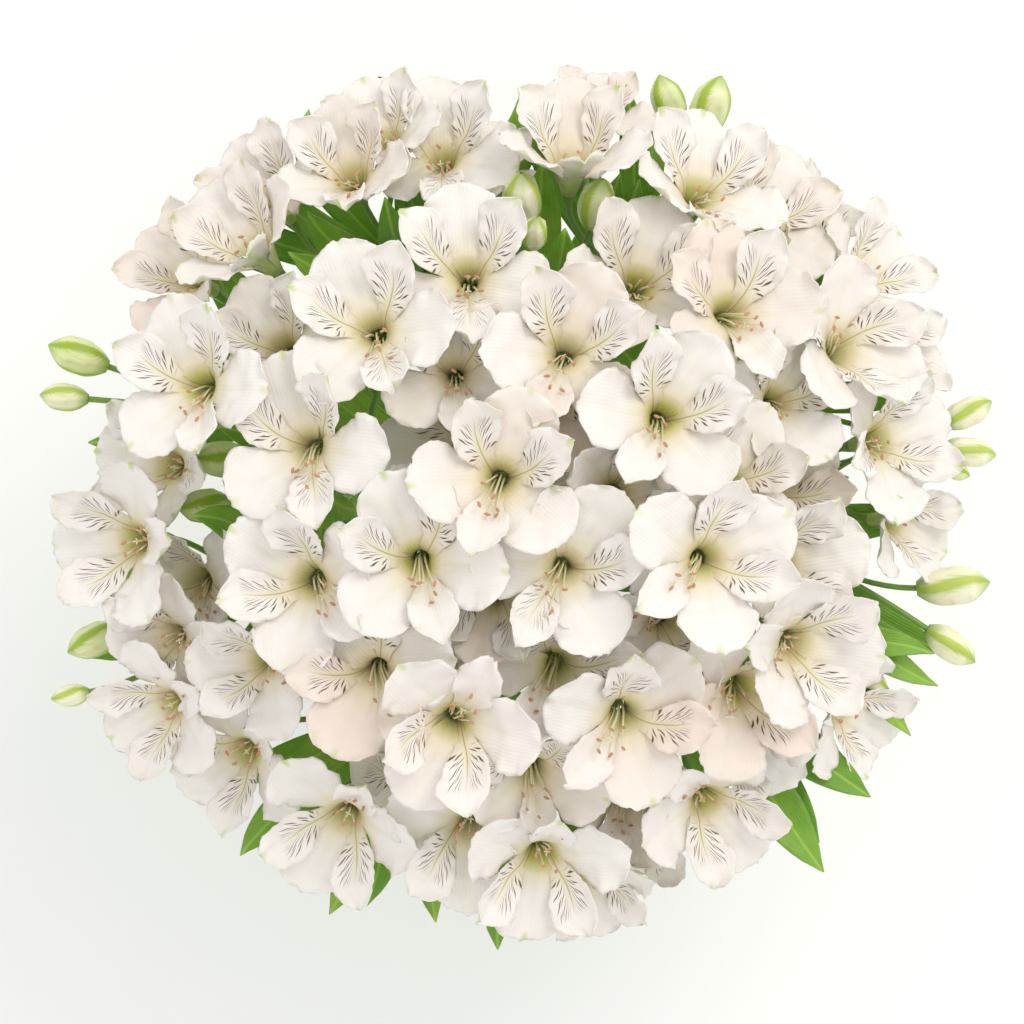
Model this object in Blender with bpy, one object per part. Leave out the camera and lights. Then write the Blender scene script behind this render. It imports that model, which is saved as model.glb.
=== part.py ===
# White alstroemeria bouquet: a round, domed, hand-tied bunch that stands on its cut stem ends.
# Metres, +Z up. The origin is on the surface it stands on, below the middle of the dome.
# Seen from above, +X is right and +Y is up.

import math
import random
from collections import namedtuple

import bmesh
import bpy
from mathutils import Matrix, Vector
from mathutils.bvhtree import BVHTree

for old in list(bpy.data.objects):
    bpy.data.objects.remove(old)

MM = 0.001
SEED = 7
GREEN = (0.12, 0.26, 0.03)
CREAM_WHITE = (0.86, 0.83, 0.78)
STRAW = (0.56, 0.41, 0.22)

# The dome that the throats of the blooms lie on
DOME_RADIUS = 172 * MM
DOME_RISE = 122 * MM
DOME_MIDDLE = 252 * MM
DOME_EDGE = 0.97  # share of the radius beyond which the dome turns too steep to place things on
FACING_SHARE = 0.72  # how far a bloom turns towards the dome's own outward direction

# The view straight down that the places below are read from, in a frame 1024 points wide
VIEW_MIDDLE = (503, 498)
VIEW_STEP = 0.38 * MM  # one point of the view, at the height of the dome's top
VIEW_TOP = 395 * MM
EYE_HEIGHT = 1750 * MM
SETTLING_STEPS = 12  # rounds in which a place's height on the dome settles

# One bloom, along its own axis from the end of the ovary
HUB_RADIUS = (2.7 * MM, 3.7 * MM)
HUB_HEIGHT = 4.5 * MM
THROAT_RADIUS = 9.2 * MM
THROAT_DEPTH = 18 * MM
CLAW_WIDTH = 9.3 * MM
BLADE = 1.2 * MM  # thickness along the middle of a tepal or leaf
STAMEN_TIP = 28 * MM
STAMEN_FALL = 3.5 * MM  # the stamens dip away from the streaked side
STAMEN_SPREAD = 4.5 * MM
STAMEN_STEP = 2 * MM  # every other stamen is shorter by this
CORE_ROOM = 2.4 * MM  # round the claws of a bloom
WAVE = 1.2 * MM  # most that a tepal's edges tip
JITTER = 5  # degrees, most that a tepal's slope strays
CLEARANCE = 0.35 * MM
FACE_GAP = 0.3 * MM

# Stalks
STEM_RADIUS = 2.9 * MM
STEM_SIDES = 5
RAY_RADIUS = 1.3 * MM
OVARY_RADIUS = 2.5 * MM
OVARY_LENGTH = 8 * MM
UMBEL_REACH = 70 * MM  # from the throats of a head down to its umbel
FORK_SHARE = 0.45
HUB_SINK = 2 * MM
RAY_TOP = 2 * MM  # how far below a stem's top its first ray leaves it
RAY_STEP = 1.1 * MM
FORK_ROOT = 3 * MM  # how far past the joint the second arm of a fork is rooted in the first
TIE_HEIGHT = 130 * MM

# The raffia tie: turns side by side round the waist of the bundle, a knot and two tails
TIE_TURNS = 4
TIE_TURN = 3 * MM
TIE_THICKNESS = 1.8 * MM
TIE_GROOVE = 0.6 * MM
TIE_SIDES = 16
KNOT_SIDE = -70  # degrees
KNOT_LENGTH = 11 * MM
KNOT_STAND = 1 * MM  # of the knot's middle above the band
TAIL_DROP = 42 * MM
TAIL_UNEVEN = 5 * MM
TAIL_OUT = 13 * MM
TAIL_SPREAD = 12 * MM
TAIL_WIDTH = 4 * MM
TAIL_STATIONS = ((0.0, 0.6), (0.5, 1.0), (0.85, 0.8))

Tepal = namedtuple("Tepal", "name azimuth shift slope_in slope_out length width cup blunt")
# Azimuths run from the streaked side, slopes are degrees from the bloom's axis.
TEPALS = (
    Tepal("outer_top", 0, 0, 64, 78, 27 * MM, 28 * MM, 0.02, 0.5),
    Tepal("inner_left", -60, 15, 42, 58, 28 * MM, 20 * MM, 0.12, 0),
    Tepal("inner_right", 60, -15, 42, 58, 28 * MM, 20 * MM, 0.12, 0),
    Tepal("outer_left", -120, 4, 60, 76, 27 * MM, 29 * MM, 0.08, 0.5),
    Tepal("outer_right", 120, -4, 60, 76, 27 * MM, 29 * MM, 0.08, 0.5),
    Tepal("inner_low", 180, 0, 50, 66, 27 * MM, 18 * MM, 0.14, 0),
)
WIDEST = 0.58  # share of a tepal's length at which it is widest
# How a tepal gives way to its neighbours: degrees of bend, and share of its length
FLEXES = tuple(
    (bend, share)
    for share, bends in (
        (1.0, (0, -8, 8, -16, 16)),
        (0.85, (0, -8, 8, -16, 16, -24, 24)),
        (0.7, (0, -16, 16, -28, 28, -40, 40)),
        (0.5, (0, -16, 16, -32, 32, -48, 48)),
        (0.3, (0, -20, 20, -40, 40, 60)),
    )
    for bend in bends
)
# How far a bloom gives way along its own axis
SINKS = tuple(step * MM for step in (0, -4, 4, -8, 8, -12, 12, -16, 16, -22, 22))
SINK_COST = 20 * MM
GOOD_FIT = 0.9
BLOCKED = 10

Bloom = namedtuple("Bloom", "column row streaks lift size opening lean")


def at(column, row, streaks, lift=0, size=1.0, opening=1.0, lean=(0, 0)):
    """A bloom whose throat shows at that column and row; streaks is the way its marked side points."""
    return Bloom(column, row, streaks, lift * MM, size, opening, lean)


# Each head: the ring its stem stands in, and its rays. A ray carries one bloom, or forks into two.
HEADS = {
    "centre": (
        "middle",
        (
            (at(500, 478, 70, 9),),
            (at(420, 558, 110, 6), at(494, 604, 250, -14, 0.8)),
            (at(562, 565, 54, 6),),
            (at(436, 448, 172, -5, lean=(-0.35, 0.1)), at(550, 402, 60, -12, 0.85)),
        ),
    ),
    "right": (
        "inner",
        (
            (at(660, 418, 58, 5), at(735, 478, 60, -6, 0.9)),
            (at(690, 555, 30, 0), at(678, 630, -15, -5, 0.9)),
            (at(622, 492, 20, -8, 0.9), at(612, 430, 120, -14, 0.8)),
        ),
    ),
    "back": (
        "inner",
        (
            (at(565, 355, 68, 4),),
            (at(467, 275, 95, 0), at(452, 366, 100, -8, 0.85)),
            (at(645, 272, 75, 0),),
        ),
    ),
    "left": (
        "inner",
        (
            (at(375, 332, 112, 4), at(272, 340, 120, -8, 0.85)),
            (at(310, 445, 105, 3),),
            (at(312, 580, 146, 3),),
        ),
    ),
    "front": (
        "inner",
        (
            (at(375, 668, 129, 3), at(440, 648, 100, -10, 0.8)),
            (at(558, 672, 60, 0),),
            (at(622, 712, 45, 4),),
            (at(455, 712, 240, -2),),
        ),
    ),
    "rim_right": (
        "outer",
        (
            (at(785, 565, 10, 2), at(806, 492, 45, -4, 0.9)),
            (at(880, 440, 20, 0, 0.95), at(905, 520, -20, -4, 0.8)),
            (at(792, 642, -10, 3),),
        ),
    ),
    "rim_back_right": (
        "outer",
        (
            (at(835, 350, -15, 4), at(790, 395, 60, -8, 0.85)),
            (at(728, 312, 108, 2),),
            (at(862, 275, 40, 0, 0.9), at(902, 345, 0, -6, 0.8)),
        ),
    ),
    "rim_back": (
        "outer",
        (
            (at(700, 190, 80, 0),),
            (at(765, 215, 60, -2, 0.95), at(815, 215, 45, -4, 0.8)),
            (at(572, 160, 90, 0, 1.0, 0.7, (0, 0.35)), at(598, 108, 85, -4, 0.7)),
        ),
    ),
    "rim_back_left": (
        "outer",
        (
            (at(440, 150, 95, 0, 0.95), at(480, 128, 80, -6, 0.75)),
            (at(352, 178, 100, 2, 0.9, 0.75), at(385, 140, 110, -2, 0.8)),
            (at(255, 250, 130, 2, 1.0, 0.75, (-0.3, 0.3)), at(268, 190, 130, -4, 0.9)),
        ),
    ),
    "rim_left": (
        "outer",
        (
            (at(218, 392, 110, 4),),
            (at(188, 272, 140, -2, 0.9),),
            (at(142, 462, 170, 0, 0.95),),
        ),
    ),
    "rim_front_left": (
        "outer",
        (
            (at(135, 540, 185, 2),),
            (at(160, 592, 150, -2, 0.9), at(165, 640, 190, -4, 0.85)),
            (at(172, 702, 210, 2, 0.9), at(255, 668, 180, -6, 0.85)),
        ),
    ),
    "rim_front": (
        "outer",
        (
            (at(345, 815, 240, 2), at(405, 818, 90, -2, 0.9)),
            (at(470, 828, 265, 0),),
            (at(232, 762, 220, 0, 0.95),),
        ),
    ),
    "rim_front_right": (
        "outer",
        (
            (at(540, 852, 262, 3), at(532, 780, 100, -6, 0.9)),
            (at(592, 880, 280, -2, 0.8), at(635, 872, 290, -4, 0.85)),
            (at(638, 820, 60, 0, 0.85, 0.7),),
        ),
    ),
    "rim_right_front": (
        "outer",
        (
            (at(742, 690, 5, 3),),
            (at(706, 800, 310, 1, 0.95),),
            (at(752, 752, 320, -5, 0.85), at(848, 712, 330, -2, 0.85)),
        ),
    ),
}
# Ring: radius of its stems at the tie, at the cut ends, and how fast they wind
RINGS = {
    "middle": (0.0, 2 * MM, 0.0),
    "inner": (6.2 * MM, 34 * MM, 0.26),
    "outer": (12.5 * MM, 68 * MM, 0.48),
}

# Buds: column and row of the tip, the way it points, its length, how far it rises above level
BUDS = (
    (66, 350, 160, 26, 10),
    (58, 398, 175, 20, 0),
    (165, 452, 175, 26, 35),
    (146, 508, 185, 24, 30),
    (85, 645, 205, 24, 5),
    (68, 690, 190, 16, 0),
    (972, 404, 25, 22, 5),
    (976, 456, -8, 22, 0),
    (950, 476, -20, 13, 0),
    (970, 578, 5, 30, 10),
    (956, 655, -35, 24, 0),
    (812, 412, 30, 24, 45),
    (520, 186, 92, 28, 50),
    (536, 228, 80, 18, 50),
    (602, 182, 75, 26, 45),
    (490, 262, 110, 18, 55),
    (652, 92, 110, 24, 20),
    (712, 92, 70, 28, 15),
    (832, 245, 30, 24, 30),
    (584, 806, 265, 16, 35),
    (908, 700, -35, 14, 0),
    (728, 142, 70, 22, 30),
)
BUD_STATIONS = ((0.0, 0.34), (0.36, 0.94), (0.72, 0.86))
BUD_SLENDERNESS = 0.23
BUD_SEAT = 0.12  # share of its length that its stalk reaches into it
BUD_SINKS = tuple(step * MM for step in (8, 2, -4, -10, -16, -22, -28, 14))

# Leaves: column and row of the tip, the way it points, its width in mm, how far it rises above level
LEAVES = (
    (304, 100, 75, 13, 10),
    (245, 148, 110, 12, 0),
    (203, 188, 125, 12, 0),
    (170, 220, 140, 11, 0),
    (112, 344, 150, 17, 10),
    (216, 258, 130, 14, 35),
    (398, 148, 110, 13, 30),
    (466, 142, 105, 16, 25),
    (520, 78, 110, 16, 5),
    (552, 68, 85, 17, 5),
    (590, 90, 60, 14, 10),
    (572, 160, 80, 17, 35),
    (642, 172, 70, 14, 25),
    (628, 74, 100, 11, 0),
    (665, 84, 80, 11, 0),
    (796, 236, 75, 18, 20),
    (842, 262, 20, 12, 10),
    (940, 360, 30, 12, 0),
    (842, 446, 15, 12, 30),
    (932, 514, 10, 14, 5),
    (990, 556, 2, 14, -5),
    (990, 590, 0, 13, -10),
    (966, 684, -35, 13, -5),
    (938, 692, -30, 13, -5),
    (877, 802, -35, 17, 0),
    (858, 854, -45, 18, 0),
    (792, 848, -75, 15, -5),
    (843, 750, -5, 14, 10),
    (804, 836, -60, 11, -5),
    (578, 860, 265, 15, 20),
    (497, 958, 275, 16, -5),
    (325, 922, 240, 14, -5),
    (379, 931, 265, 13, -5),
    (234, 862, 235, 15, -5),
    (291, 867, 255, 13, -5),
    (225, 794, 215, 12, 0),
    (79, 661, 200, 15, 0),
    (62, 588, 190, 13, 0),
    (262, 782, 230, 14, 10),
    (205, 700, 200, 13, 15),
    (222, 486, 185, 15, 30),
    (330, 500, 140, 13, 40),
    (722, 470, 60, 13, 35),
    (302, 204, 120, 14, 25),
    (283, 246, 145, 14, 30),
    (382, 190, 100, 13, 35),
    (566, 222, 85, 16, 40),
    (622, 166, 70, 14, 30),
    (212, 424, 165, 15, 30),
    (176, 530, 190, 15, 25),
    (78, 440, 180, 15, 5),
    (852, 826, -48, 17, -5),
    (362, 916, 250, 15, -5),
)
LEAF_STATIONS = ((0.0, 0.2), (0.42, 0.86), (0.74, 0.96))
LEAF_DEPTH = 4 * MM  # of a leaf's tip below the dome
LEAF_REACH = 0.35  # of its length, for the curve's two handles
LEAF_CUP = 0.10
# How a leaf or ray gives way: degrees round its stem, millimetres of rise, and share of its length
LEAF_GIVES = tuple(
    (swing, rise * MM, share)
    for share in (1.0, 0.9, 0.8, 0.65, 0.5, 0.35)
    for rise in (0, -8, 8, -16, -26)
    for swing in (0, -4, 4, -8, 8, -14, 14, -22, 22)
)
# How a ray gives way: the reach of its two ends, and how far its middle is pushed to a side
RAY_BENDS = tuple(
    (first, last, push * MM, turn)
    for push in (0, 7, 14, 22, 30, 40, 52)
    for turn in (range(0, 360, 45) if push else (0,))
    for first, last in ((0.35, 0.35), (0.5, 0.25), (0.2, 0.5), (0.6, 0.5), (0.2, 0.15))
)
STEM_LEAVES = {"outer": 3, "inner": 2, "middle": 1}  # on the bare part of a stem, from the tie to the umbel
STEM_LEAF_START = 0.36
STEM_LEAF_STEP = 0.18  # share of the bare part from one leaf to the next
STEM_LEAF_SCATTER = 60  # degrees
GOLDEN_ANGLE = 137.5
STEM_LEAF_TURN = 0.35  # how much of the scatter a leaf takes, round the way outwards from the bundle
STEM_LEAF_RISE = 28  # degrees above level, of the leaf's tip seen from its root
STEM_LEAF_DROOP = 12  # degrees above level, of the tip's own heading
STEM_LEAF_LENGTH = 80 * MM
STEM_LEAF_WIDTH = 17 * MM
OUTER_SHARE = 0.35  # beyond this share of its length a leaf or ray keeps clear of its own stem's others


# Where things lie

def dome_place(column, row):
    """The point of the dome seen at that column and row, and the dome's outward direction there."""
    offset = Vector((column - VIEW_MIDDLE[0], VIEW_MIDDLE[1] - row)) * VIEW_STEP
    z = DOME_MIDDLE + DOME_RISE
    for _ in range(SETTLING_STEPS):
        flat = offset * (EYE_HEIGHT - z) / (EYE_HEIGHT - VIEW_TOP)
        share = min(flat.length / DOME_RADIUS, DOME_EDGE)
        z = DOME_MIDDLE + DOME_RISE * math.sqrt(1 - share * share)
    place = Vector((flat.x, flat.y, z))
    spread = share * DOME_RADIUS / max(flat.length, MM)
    out = Vector((flat.x * spread, flat.y * spread, 0)) / DOME_RADIUS**2
    out.z = (z - DOME_MIDDLE) / DOME_RISE**2
    return place, out.normalized()


def bloom_matrix(bloom, sink):
    """The bloom's own axes: Z the way it faces, Y its streaked side, origin at the end of the ovary."""
    throat, out = dome_place(bloom.column, bloom.row)
    throat += out * bloom.lift
    tilt = out.angle(Vector((0, 0, 1)), 0) * FACING_SHARE
    flat = Vector((out.x, out.y, 0))
    flat = flat.normalized() if flat.length > 1e-6 else Vector((0, 1, 0))
    facing = flat * math.sin(tilt) + Vector((0, 0, math.cos(tilt)))
    facing = (facing + Vector((*bloom.lean, 0))).normalized()
    streaks = math.radians(bloom.streaks)
    marked = Vector((math.cos(streaks), math.sin(streaks), 0))
    marked = (marked - facing * marked.dot(facing)).normalized()
    base = throat + facing * (sink - THROAT_DEPTH * bloom.size)
    turn = Matrix((marked.cross(facing), marked, facing)).transposed().to_4x4()
    return Matrix.Translation(base) @ turn


def bezier(points, t):
    a, b, c, d = points
    s = 1 - t
    return a * s**3 + b * (3 * s * s * t) + c * (3 * s * t * t) + d * t**3


def bezier_heading(points, t):
    a, b, c, d = points
    s = 1 - t
    return ((b - a) * (s * s) + (c - b) * (2 * s * t) + (d - c) * (t * t)).normalized()


# Solids

def tube(centres, radii, headings, sides):
    """A closed tube with a ring of points square to the heading at each centre."""
    points = []
    faces = []
    side = headings[0].orthogonal().normalized()
    for centre, radius, heading in zip(centres, radii, headings):
        side = (side - heading * side.dot(heading)).normalized()
        other = heading.cross(side)
        for k in range(sides):
            turn = math.tau * k / sides
            points.append(centre + (side * math.cos(turn) + other * math.sin(turn)) * radius)
    for ring in range(len(centres) - 1):
        for k in range(sides):
            a = ring * sides + k
            b = ring * sides + (k + 1) % sides
            faces.append((a, b, b + sides, a + sides))
    faces.append(tuple(reversed(range(sides))))
    last = (len(centres) - 1) * sides
    faces.append(tuple(range(last, last + sides)))
    return points, faces


def join_rings(a, b, faces):
    """Skin between two four-point rings (left, front, right, back), split alike on both faces."""
    for edge, middle in ((0, 1), (2, 1), (2, 3), (0, 3)):
        outward = (edge, middle) in ((0, 1), (2, 3))
        first = (a + edge, a + middle, b + edge)
        second = (a + middle, b + middle, b + edge)
        for face in (first, second):
            faces.append(face if outward else face[::-1])


def close_tip(ring, tip, faces):
    for k in range(4):
        faces.append((ring + k, ring + (k + 1) % 4, tip))


def blade_ring(centre, side, front, width, cup, wave, swell):
    """Left, front, right and back of a blade; cup raises its edges, wave tips them."""
    half = width / 2 + swell
    thick = BLADE / 2 + swell
    return (
        centre - side * half + front * (cup * width - wave),
        centre + front * thick,
        centre + side * half + front * (cup * width + wave),
        centre - front * thick,
    )


def tepal_line(tepal, opening, flex, share):
    """Function of s, 0 at the throat and 1 at the tip: place, side and front in the bloom's axes."""
    slope_in = math.radians(tepal.slope_in * opening + flex)
    slope_out = math.radians(tepal.slope_out * opening + flex * 1.2)
    bend = slope_out - slope_in
    length = tepal.length * share

    def line(s):
        slope = slope_in + bend * s
        radial = THROAT_RADIUS + length * (math.cos(slope_in) - math.cos(slope)) / bend
        axial = THROAT_DEPTH + length * (math.sin(slope) - math.sin(slope_in)) / bend
        azimuth = math.radians(tepal.azimuth + tepal.shift * min(1.0, s * 1.6))
        out = Vector((math.sin(azimuth), math.cos(azimuth), 0))
        side = Vector((math.cos(azimuth), -math.sin(azimuth), 0))
        front = Vector((0, 0, math.sin(slope))) - out * math.cos(slope)
        return out * radial + Vector((0, 0, axial)), side, front

    return line


def tepal_rings(tepal, opening, wave, flex, share, swell=0.0):
    """The blade's four-point rings at the throat and where it is widest, and its one or two tip points."""
    line = tepal_line(tepal, opening, flex, share)
    width = tepal.width * (0.4 + 0.6 * share)
    rings = (
        blade_ring(*line(0), CLAW_WIDTH, 0.04, 0, swell),
        blade_ring(*line(WIDEST), width, tepal.cup, wave, swell),
    )
    tip, side, _ = line(1)
    tip = tip + (tip - line(0.9)[0]).normalized() * swell
    half = width * tepal.blunt / 2
    return rings, (tip - side * half, tip + side * half) if half else (tip,)


def tepal_skin(rings, tips, points, faces):
    """Adds the rings and tips of a blade, and the faces from the first ring to the tips."""
    ring = len(points)
    for following in rings:
        points += following
    join_rings(ring, ring + 4, faces)
    left, front, right, back = range(ring + 4, ring + 8)
    points += tips
    tip_left, tip_right = ring + 8, ring + 7 + len(tips)
    faces += [(left, front, tip_left), (front, right, tip_right)]
    faces += [(right, back, tip_right), (back, left, tip_left)]
    if tip_left != tip_right:
        faces += [(front, tip_right, tip_left), (back, tip_left, tip_right)]


def limb(tepal, opening, wave, flex, share, matrix):
    """The blade from the throat on, with the clearance that it keeps to others."""
    points = []
    faces = [(3, 2, 1, 0)]
    tepal_skin(*tepal_rings(tepal, opening, wave, flex, share, CLEARANCE), points, faces)
    return [matrix @ point for point in points], faces


def core(matrix, stalk=OVARY_LENGTH * 1.5):
    """The end of the stalk, the ovary, hub, claws and stamens as one plain closed shape, for clearance."""
    middles = ((0, 0, -stalk), (0, 0, 0), (0, 0, THROAT_DEPTH), (0, -STAMEN_FALL, STAMEN_TIP))
    radii = (RAY_RADIUS, HUB_RADIUS[0] * 1.1, THROAT_RADIUS + CORE_ROOM, STAMEN_SPREAD * 1.2)
    centres = [matrix @ Vector(middle) for middle in middles]
    scale = matrix.median_scale
    heading = (matrix.to_3x3() @ Vector((0, 0, 1))).normalized()
    return tube(centres, [(radius + CLEARANCE) * scale for radius in radii], [heading] * 4, 8)


def bloom_solid(matrix, opening, waves, gives):
    """One closed mesh: a six-sided hub, a tepal on each side of it, and six stamens on its top."""
    points = []
    faces = []
    for height, radius in zip((0, HUB_HEIGHT), HUB_RADIUS):
        for k in range(6):
            turn = math.radians(60 * k - 30)
            points.append(Vector((math.sin(turn) * radius, math.cos(turn) * radius, height)))
    faces.append((5, 4, 3, 2, 1, 0))
    middle = len(points)
    points.append(Vector((0, 0, HUB_HEIGHT)))
    for k in range(6):
        turn = math.radians(60 * k)
        tip = Vector((math.sin(turn), math.cos(turn), 0)) * STAMEN_SPREAD
        points.append(tip + Vector((0, -STAMEN_FALL, STAMEN_TIP - (k % 2) * STAMEN_STEP)))
        corners = (6 + k, 6 + (k + 1) % 6, middle)
        for a in range(3):
            faces.append((corners[(a + 1) % 3], corners[a], len(points) - 1))
    for tepal, wave, (flex, share) in zip(TEPALS, waves, gives):
        k = round(tepal.azimuth / 60) % 6
        low_left, low_right = k, (k + 1) % 6
        high_left, high_right = low_left + 6, low_right + 6
        left, front, right, back = range(len(points), len(points) + 4)
        faces += [
            (low_left, low_right, back), (back, low_right, right),
            (low_right, high_right, right), (right, high_right, front),
            (high_right, high_left, front), (front, high_left, left),
            (high_left, low_left, left), (left, low_left, back),
        ]
        tepal_skin(*tepal_rings(tepal, opening, wave, flex, share), points, faces)
    return [matrix @ point for point in points], faces


def leaf_solid(points, width, stations, swell=0.0):
    """A lance-shaped blade along a curve, its root ring sunk in what carries it."""
    rings = []
    for s, wide in stations:
        heading = bezier_heading(points, s)
        side = heading.cross(Vector((0, 0, 1))).normalized()
        front = side.cross(heading)
        rings.append(blade_ring(bezier(points, s), side, front, width * wide, LEAF_CUP, 0, swell))
    mesh = [point for ring in rings for point in ring]
    mesh.append(points[3] + bezier_heading(points, 1) * swell)
    faces = [(3, 2, 1, 0)]
    for k in range(len(rings) - 1):
        join_rings(4 * k, 4 * k + 4, faces)
    close_tip(4 * len(rings) - 4, len(mesh) - 1, faces)
    return mesh, faces


def ray_solid(points, start, end, tip_radius, swell=0.0):
    """A stalk along part of a curve, widening into the ovary or bud at its end."""
    length = (points[3] - points[0]).length
    neck = end - OVARY_LENGTH / length * (tip_radius > RAY_RADIUS)
    stations = [start, start + (neck - start) * 0.4, neck, end]
    radii = [RAY_RADIUS, RAY_RADIUS, RAY_RADIUS, tip_radius]
    centres = [bezier(points, t) for t in stations]
    headings = [bezier_heading(points, t) for t in stations]
    return tube(centres, [radius + swell for radius in radii], headings, 3)


def bud_solid(base, heading, length, swell=0.0):
    centres = [base + heading * length * s for s, _ in BUD_STATIONS]
    radii = [length * BUD_SLENDERNESS * wide + swell for _, wide in BUD_STATIONS]
    points, faces = tube(centres, radii, [heading] * len(radii), 5)
    faces.pop()
    points.append(base + heading * (length + swell))
    last = len(points) - 1
    for k in range(5):
        faces.append((last - 5 + k, last - 5 + (k + 1) % 5, last))
    return points, faces


# Room between the pieces

class Room:
    """The solids placed so far, each with its owner: a node, or one bloom of a node."""

    def __init__(self):
        self.placed = []

    @staticmethod
    def box(points):
        return (
            [min(point[axis] for point in points) for axis in range(3)],
            [max(point[axis] for point in points) for axis in range(3)],
        )

    def add(self, owner, solid):
        points, faces = solid
        self.placed.append((owner, self.box(points), BVHTree.FromPolygons(points, faces)))

    def clashes(self, owners, solid, also=()):
        points, faces = solid
        low, high = self.box(points)
        tree = BVHTree.FromPolygons(points, faces)
        found = []
        for other, (other_low, other_high), other_tree in (*self.placed, *also):
            if other in owners:
                continue
            apart = any(low[a] > other_high[a] or high[a] < other_low[a] for a in range(3))
            if not apart and tree.overlap(other_tree):
                found.append(other)
        return found

    def entry(self, solid):
        points, faces = solid
        return "own", self.box(points), BVHTree.FromPolygons(points, faces)


room = Room()
solids = {}  # node name: the solids that are fused in it
grown = {}  # head name: the rays that its stem has so far


def first_clear(options, make, what, also=()):
    """The first option that is clear: make gives the solids that have to be, and those that should be."""
    usable = None
    for option in options:
        needed, wished = make(option)
        if any(room.clashes((owner,), solid, also) for owner, solid in needed):
            continue
        if not any(room.clashes((), solid, also) for solid in wished):
            return option
        usable = option if usable is None else usable
    if usable is None:
        raise ValueError(f"no room for {what}")
    return usable


# Stems

def stem_ring_place(ring, slot, slots, z, target, top):
    """The middle of a stem at height z: a spiral bundle, narrow at the tie and splayed at the cut ends."""
    tie_radius, foot_radius, winding = RINGS[ring]
    above = z - TIE_HEIGHT
    rise = min(1.0, max(0.0, above / (top - TIE_HEIGHT)))
    if ring == "middle":
        return Vector((target.x * rise**2, target.y * rise**2, z))
    reach = Vector((target.x, target.y)).length if above > 0 else foot_radius
    span = top - TIE_HEIGHT if above > 0 else TIE_HEIGHT
    slope = math.sqrt(max(reach**2 - tie_radius**2, 0)) / span
    radius = math.hypot(tie_radius, slope * above)
    start = math.tau * slot / slots
    wound = math.atan(winding * above / tie_radius)
    end = start + math.atan(winding * (top - TIE_HEIGHT) / tie_radius)
    drift = (math.atan2(target.y, target.x) - end + math.pi) % math.tau - math.pi
    ease = rise * rise * (3 - 2 * rise)
    angle = start + wound + drift * ease
    return Vector((math.cos(angle) * radius, math.sin(angle) * radius, z))


# Shares of a stem's height
STEM_STATIONS = (0, 0.2, 0.36, 0.46, 0.56, 0.68, 0.81, 0.94, 1.0)
UMBEL_SWELLING = (1.4, 1.25)  # share of the stem's radius at its last two stations


def stem_solid(path, top):
    heights = [top * share for share in STEM_STATIONS]
    centres = [path(z) for z in heights]
    headings = []
    for z in heights:
        headings.append((path(z + MM) - path(z)).normalized())
    radii = [STEM_RADIUS] * (len(heights) - 2) + [STEM_RADIUS * share for share in UMBEL_SWELLING]
    points, faces = tube(centres, radii, headings, STEM_SIDES)
    for k in range(STEM_SIDES):
        slide = points[k].z / headings[0].z
        points[k] = points[k] - headings[0] * slide
    return points, faces


def umbel_of(rays):
    """Below the middle of the head's blooms, by the reach of its rays."""
    places = Vector()
    facings = Vector()
    count = 0
    for ray in rays:
        for bloom in ray:
            matrix = bloom_matrix(bloom, 0)
            places += matrix @ Vector((0, 0, THROAT_DEPTH))
            facings += matrix.to_3x3() @ Vector((0, 0, 1))
            count += 1
    return places / count - facings.normalized() * UMBEL_REACH


umbels = {name: umbel_of(rays) for name, (_, rays) in HEADS.items()}
stems = {}
for ring in RINGS:
    names = [name for name, (own, _) in HEADS.items() if own == ring]
    names.sort(key=lambda name: math.atan2(umbels[name].y, umbels[name].x))
    for slot, name in enumerate(names):
        stems[name] = (ring, slot, len(names))


def ring_offset(ring):
    """Turns a ring's even places at the tie so that its stems drift least to their umbels."""
    members = [name for name in HEADS if stems[name][0] == ring]
    tie_radius, _, winding = RINGS[ring]
    if tie_radius == 0:
        return 0
    total = Vector((0, 0))
    for name in members:
        _, slot, slots = stems[name]
        umbel = umbels[name]
        wound = math.atan(winding * (umbel.z - TIE_HEIGHT) / tie_radius)
        angle = math.atan2(umbel.y, umbel.x) - wound - math.tau * slot / slots
        total += Vector((math.cos(angle), math.sin(angle)))
    return math.atan2(total.y, total.x) / math.tau * stems[members[0]][2]


offsets = {ring: ring_offset(ring) for ring in RINGS}


def stem_path(name):
    ring, slot, slots = stems[name]
    umbel = umbels[name]

    def path(z):
        return stem_ring_place(ring, slot + offsets[ring], slots, z, umbel, umbel.z)

    return path


def fuse_later(node, solid):
    solids.setdefault(node, []).append(solid)


paths = {name: stem_path(name) for name in HEADS}
stem_corners = []
for name in HEADS:
    node = f"leafy_stem_{name}"
    solid = stem_solid(paths[name], umbels[name].z)
    stem_corners.append(solid[0])
    room.add(node, solid)
    fuse_later(node, solid)

# Blooms, the highest first, each with the ray that carries it

order = []
for name, (_, rays) in HEADS.items():
    for ray in rays:
        order.append((name, ray))
order.sort(key=lambda item: -item[1][0].lift)

draws = random.Random(SEED)
# The hubs and throats still to come, which the tepals of earlier blooms leave free
reserved = {}
for _, ray in order:
    for bloom in ray:
        matrix = bloom_matrix(bloom, 0) @ Matrix.Scale(bloom.size, 4)
        reserved[bloom.column, bloom.row] = room.entry(core(matrix))


def limbs_of(bloom, waves, gives, matrix):
    return [
        limb(tepal, bloom.opening, wave, *give, matrix) for tepal, wave, give in zip(TEPALS, waves, gives)
    ]


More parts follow.
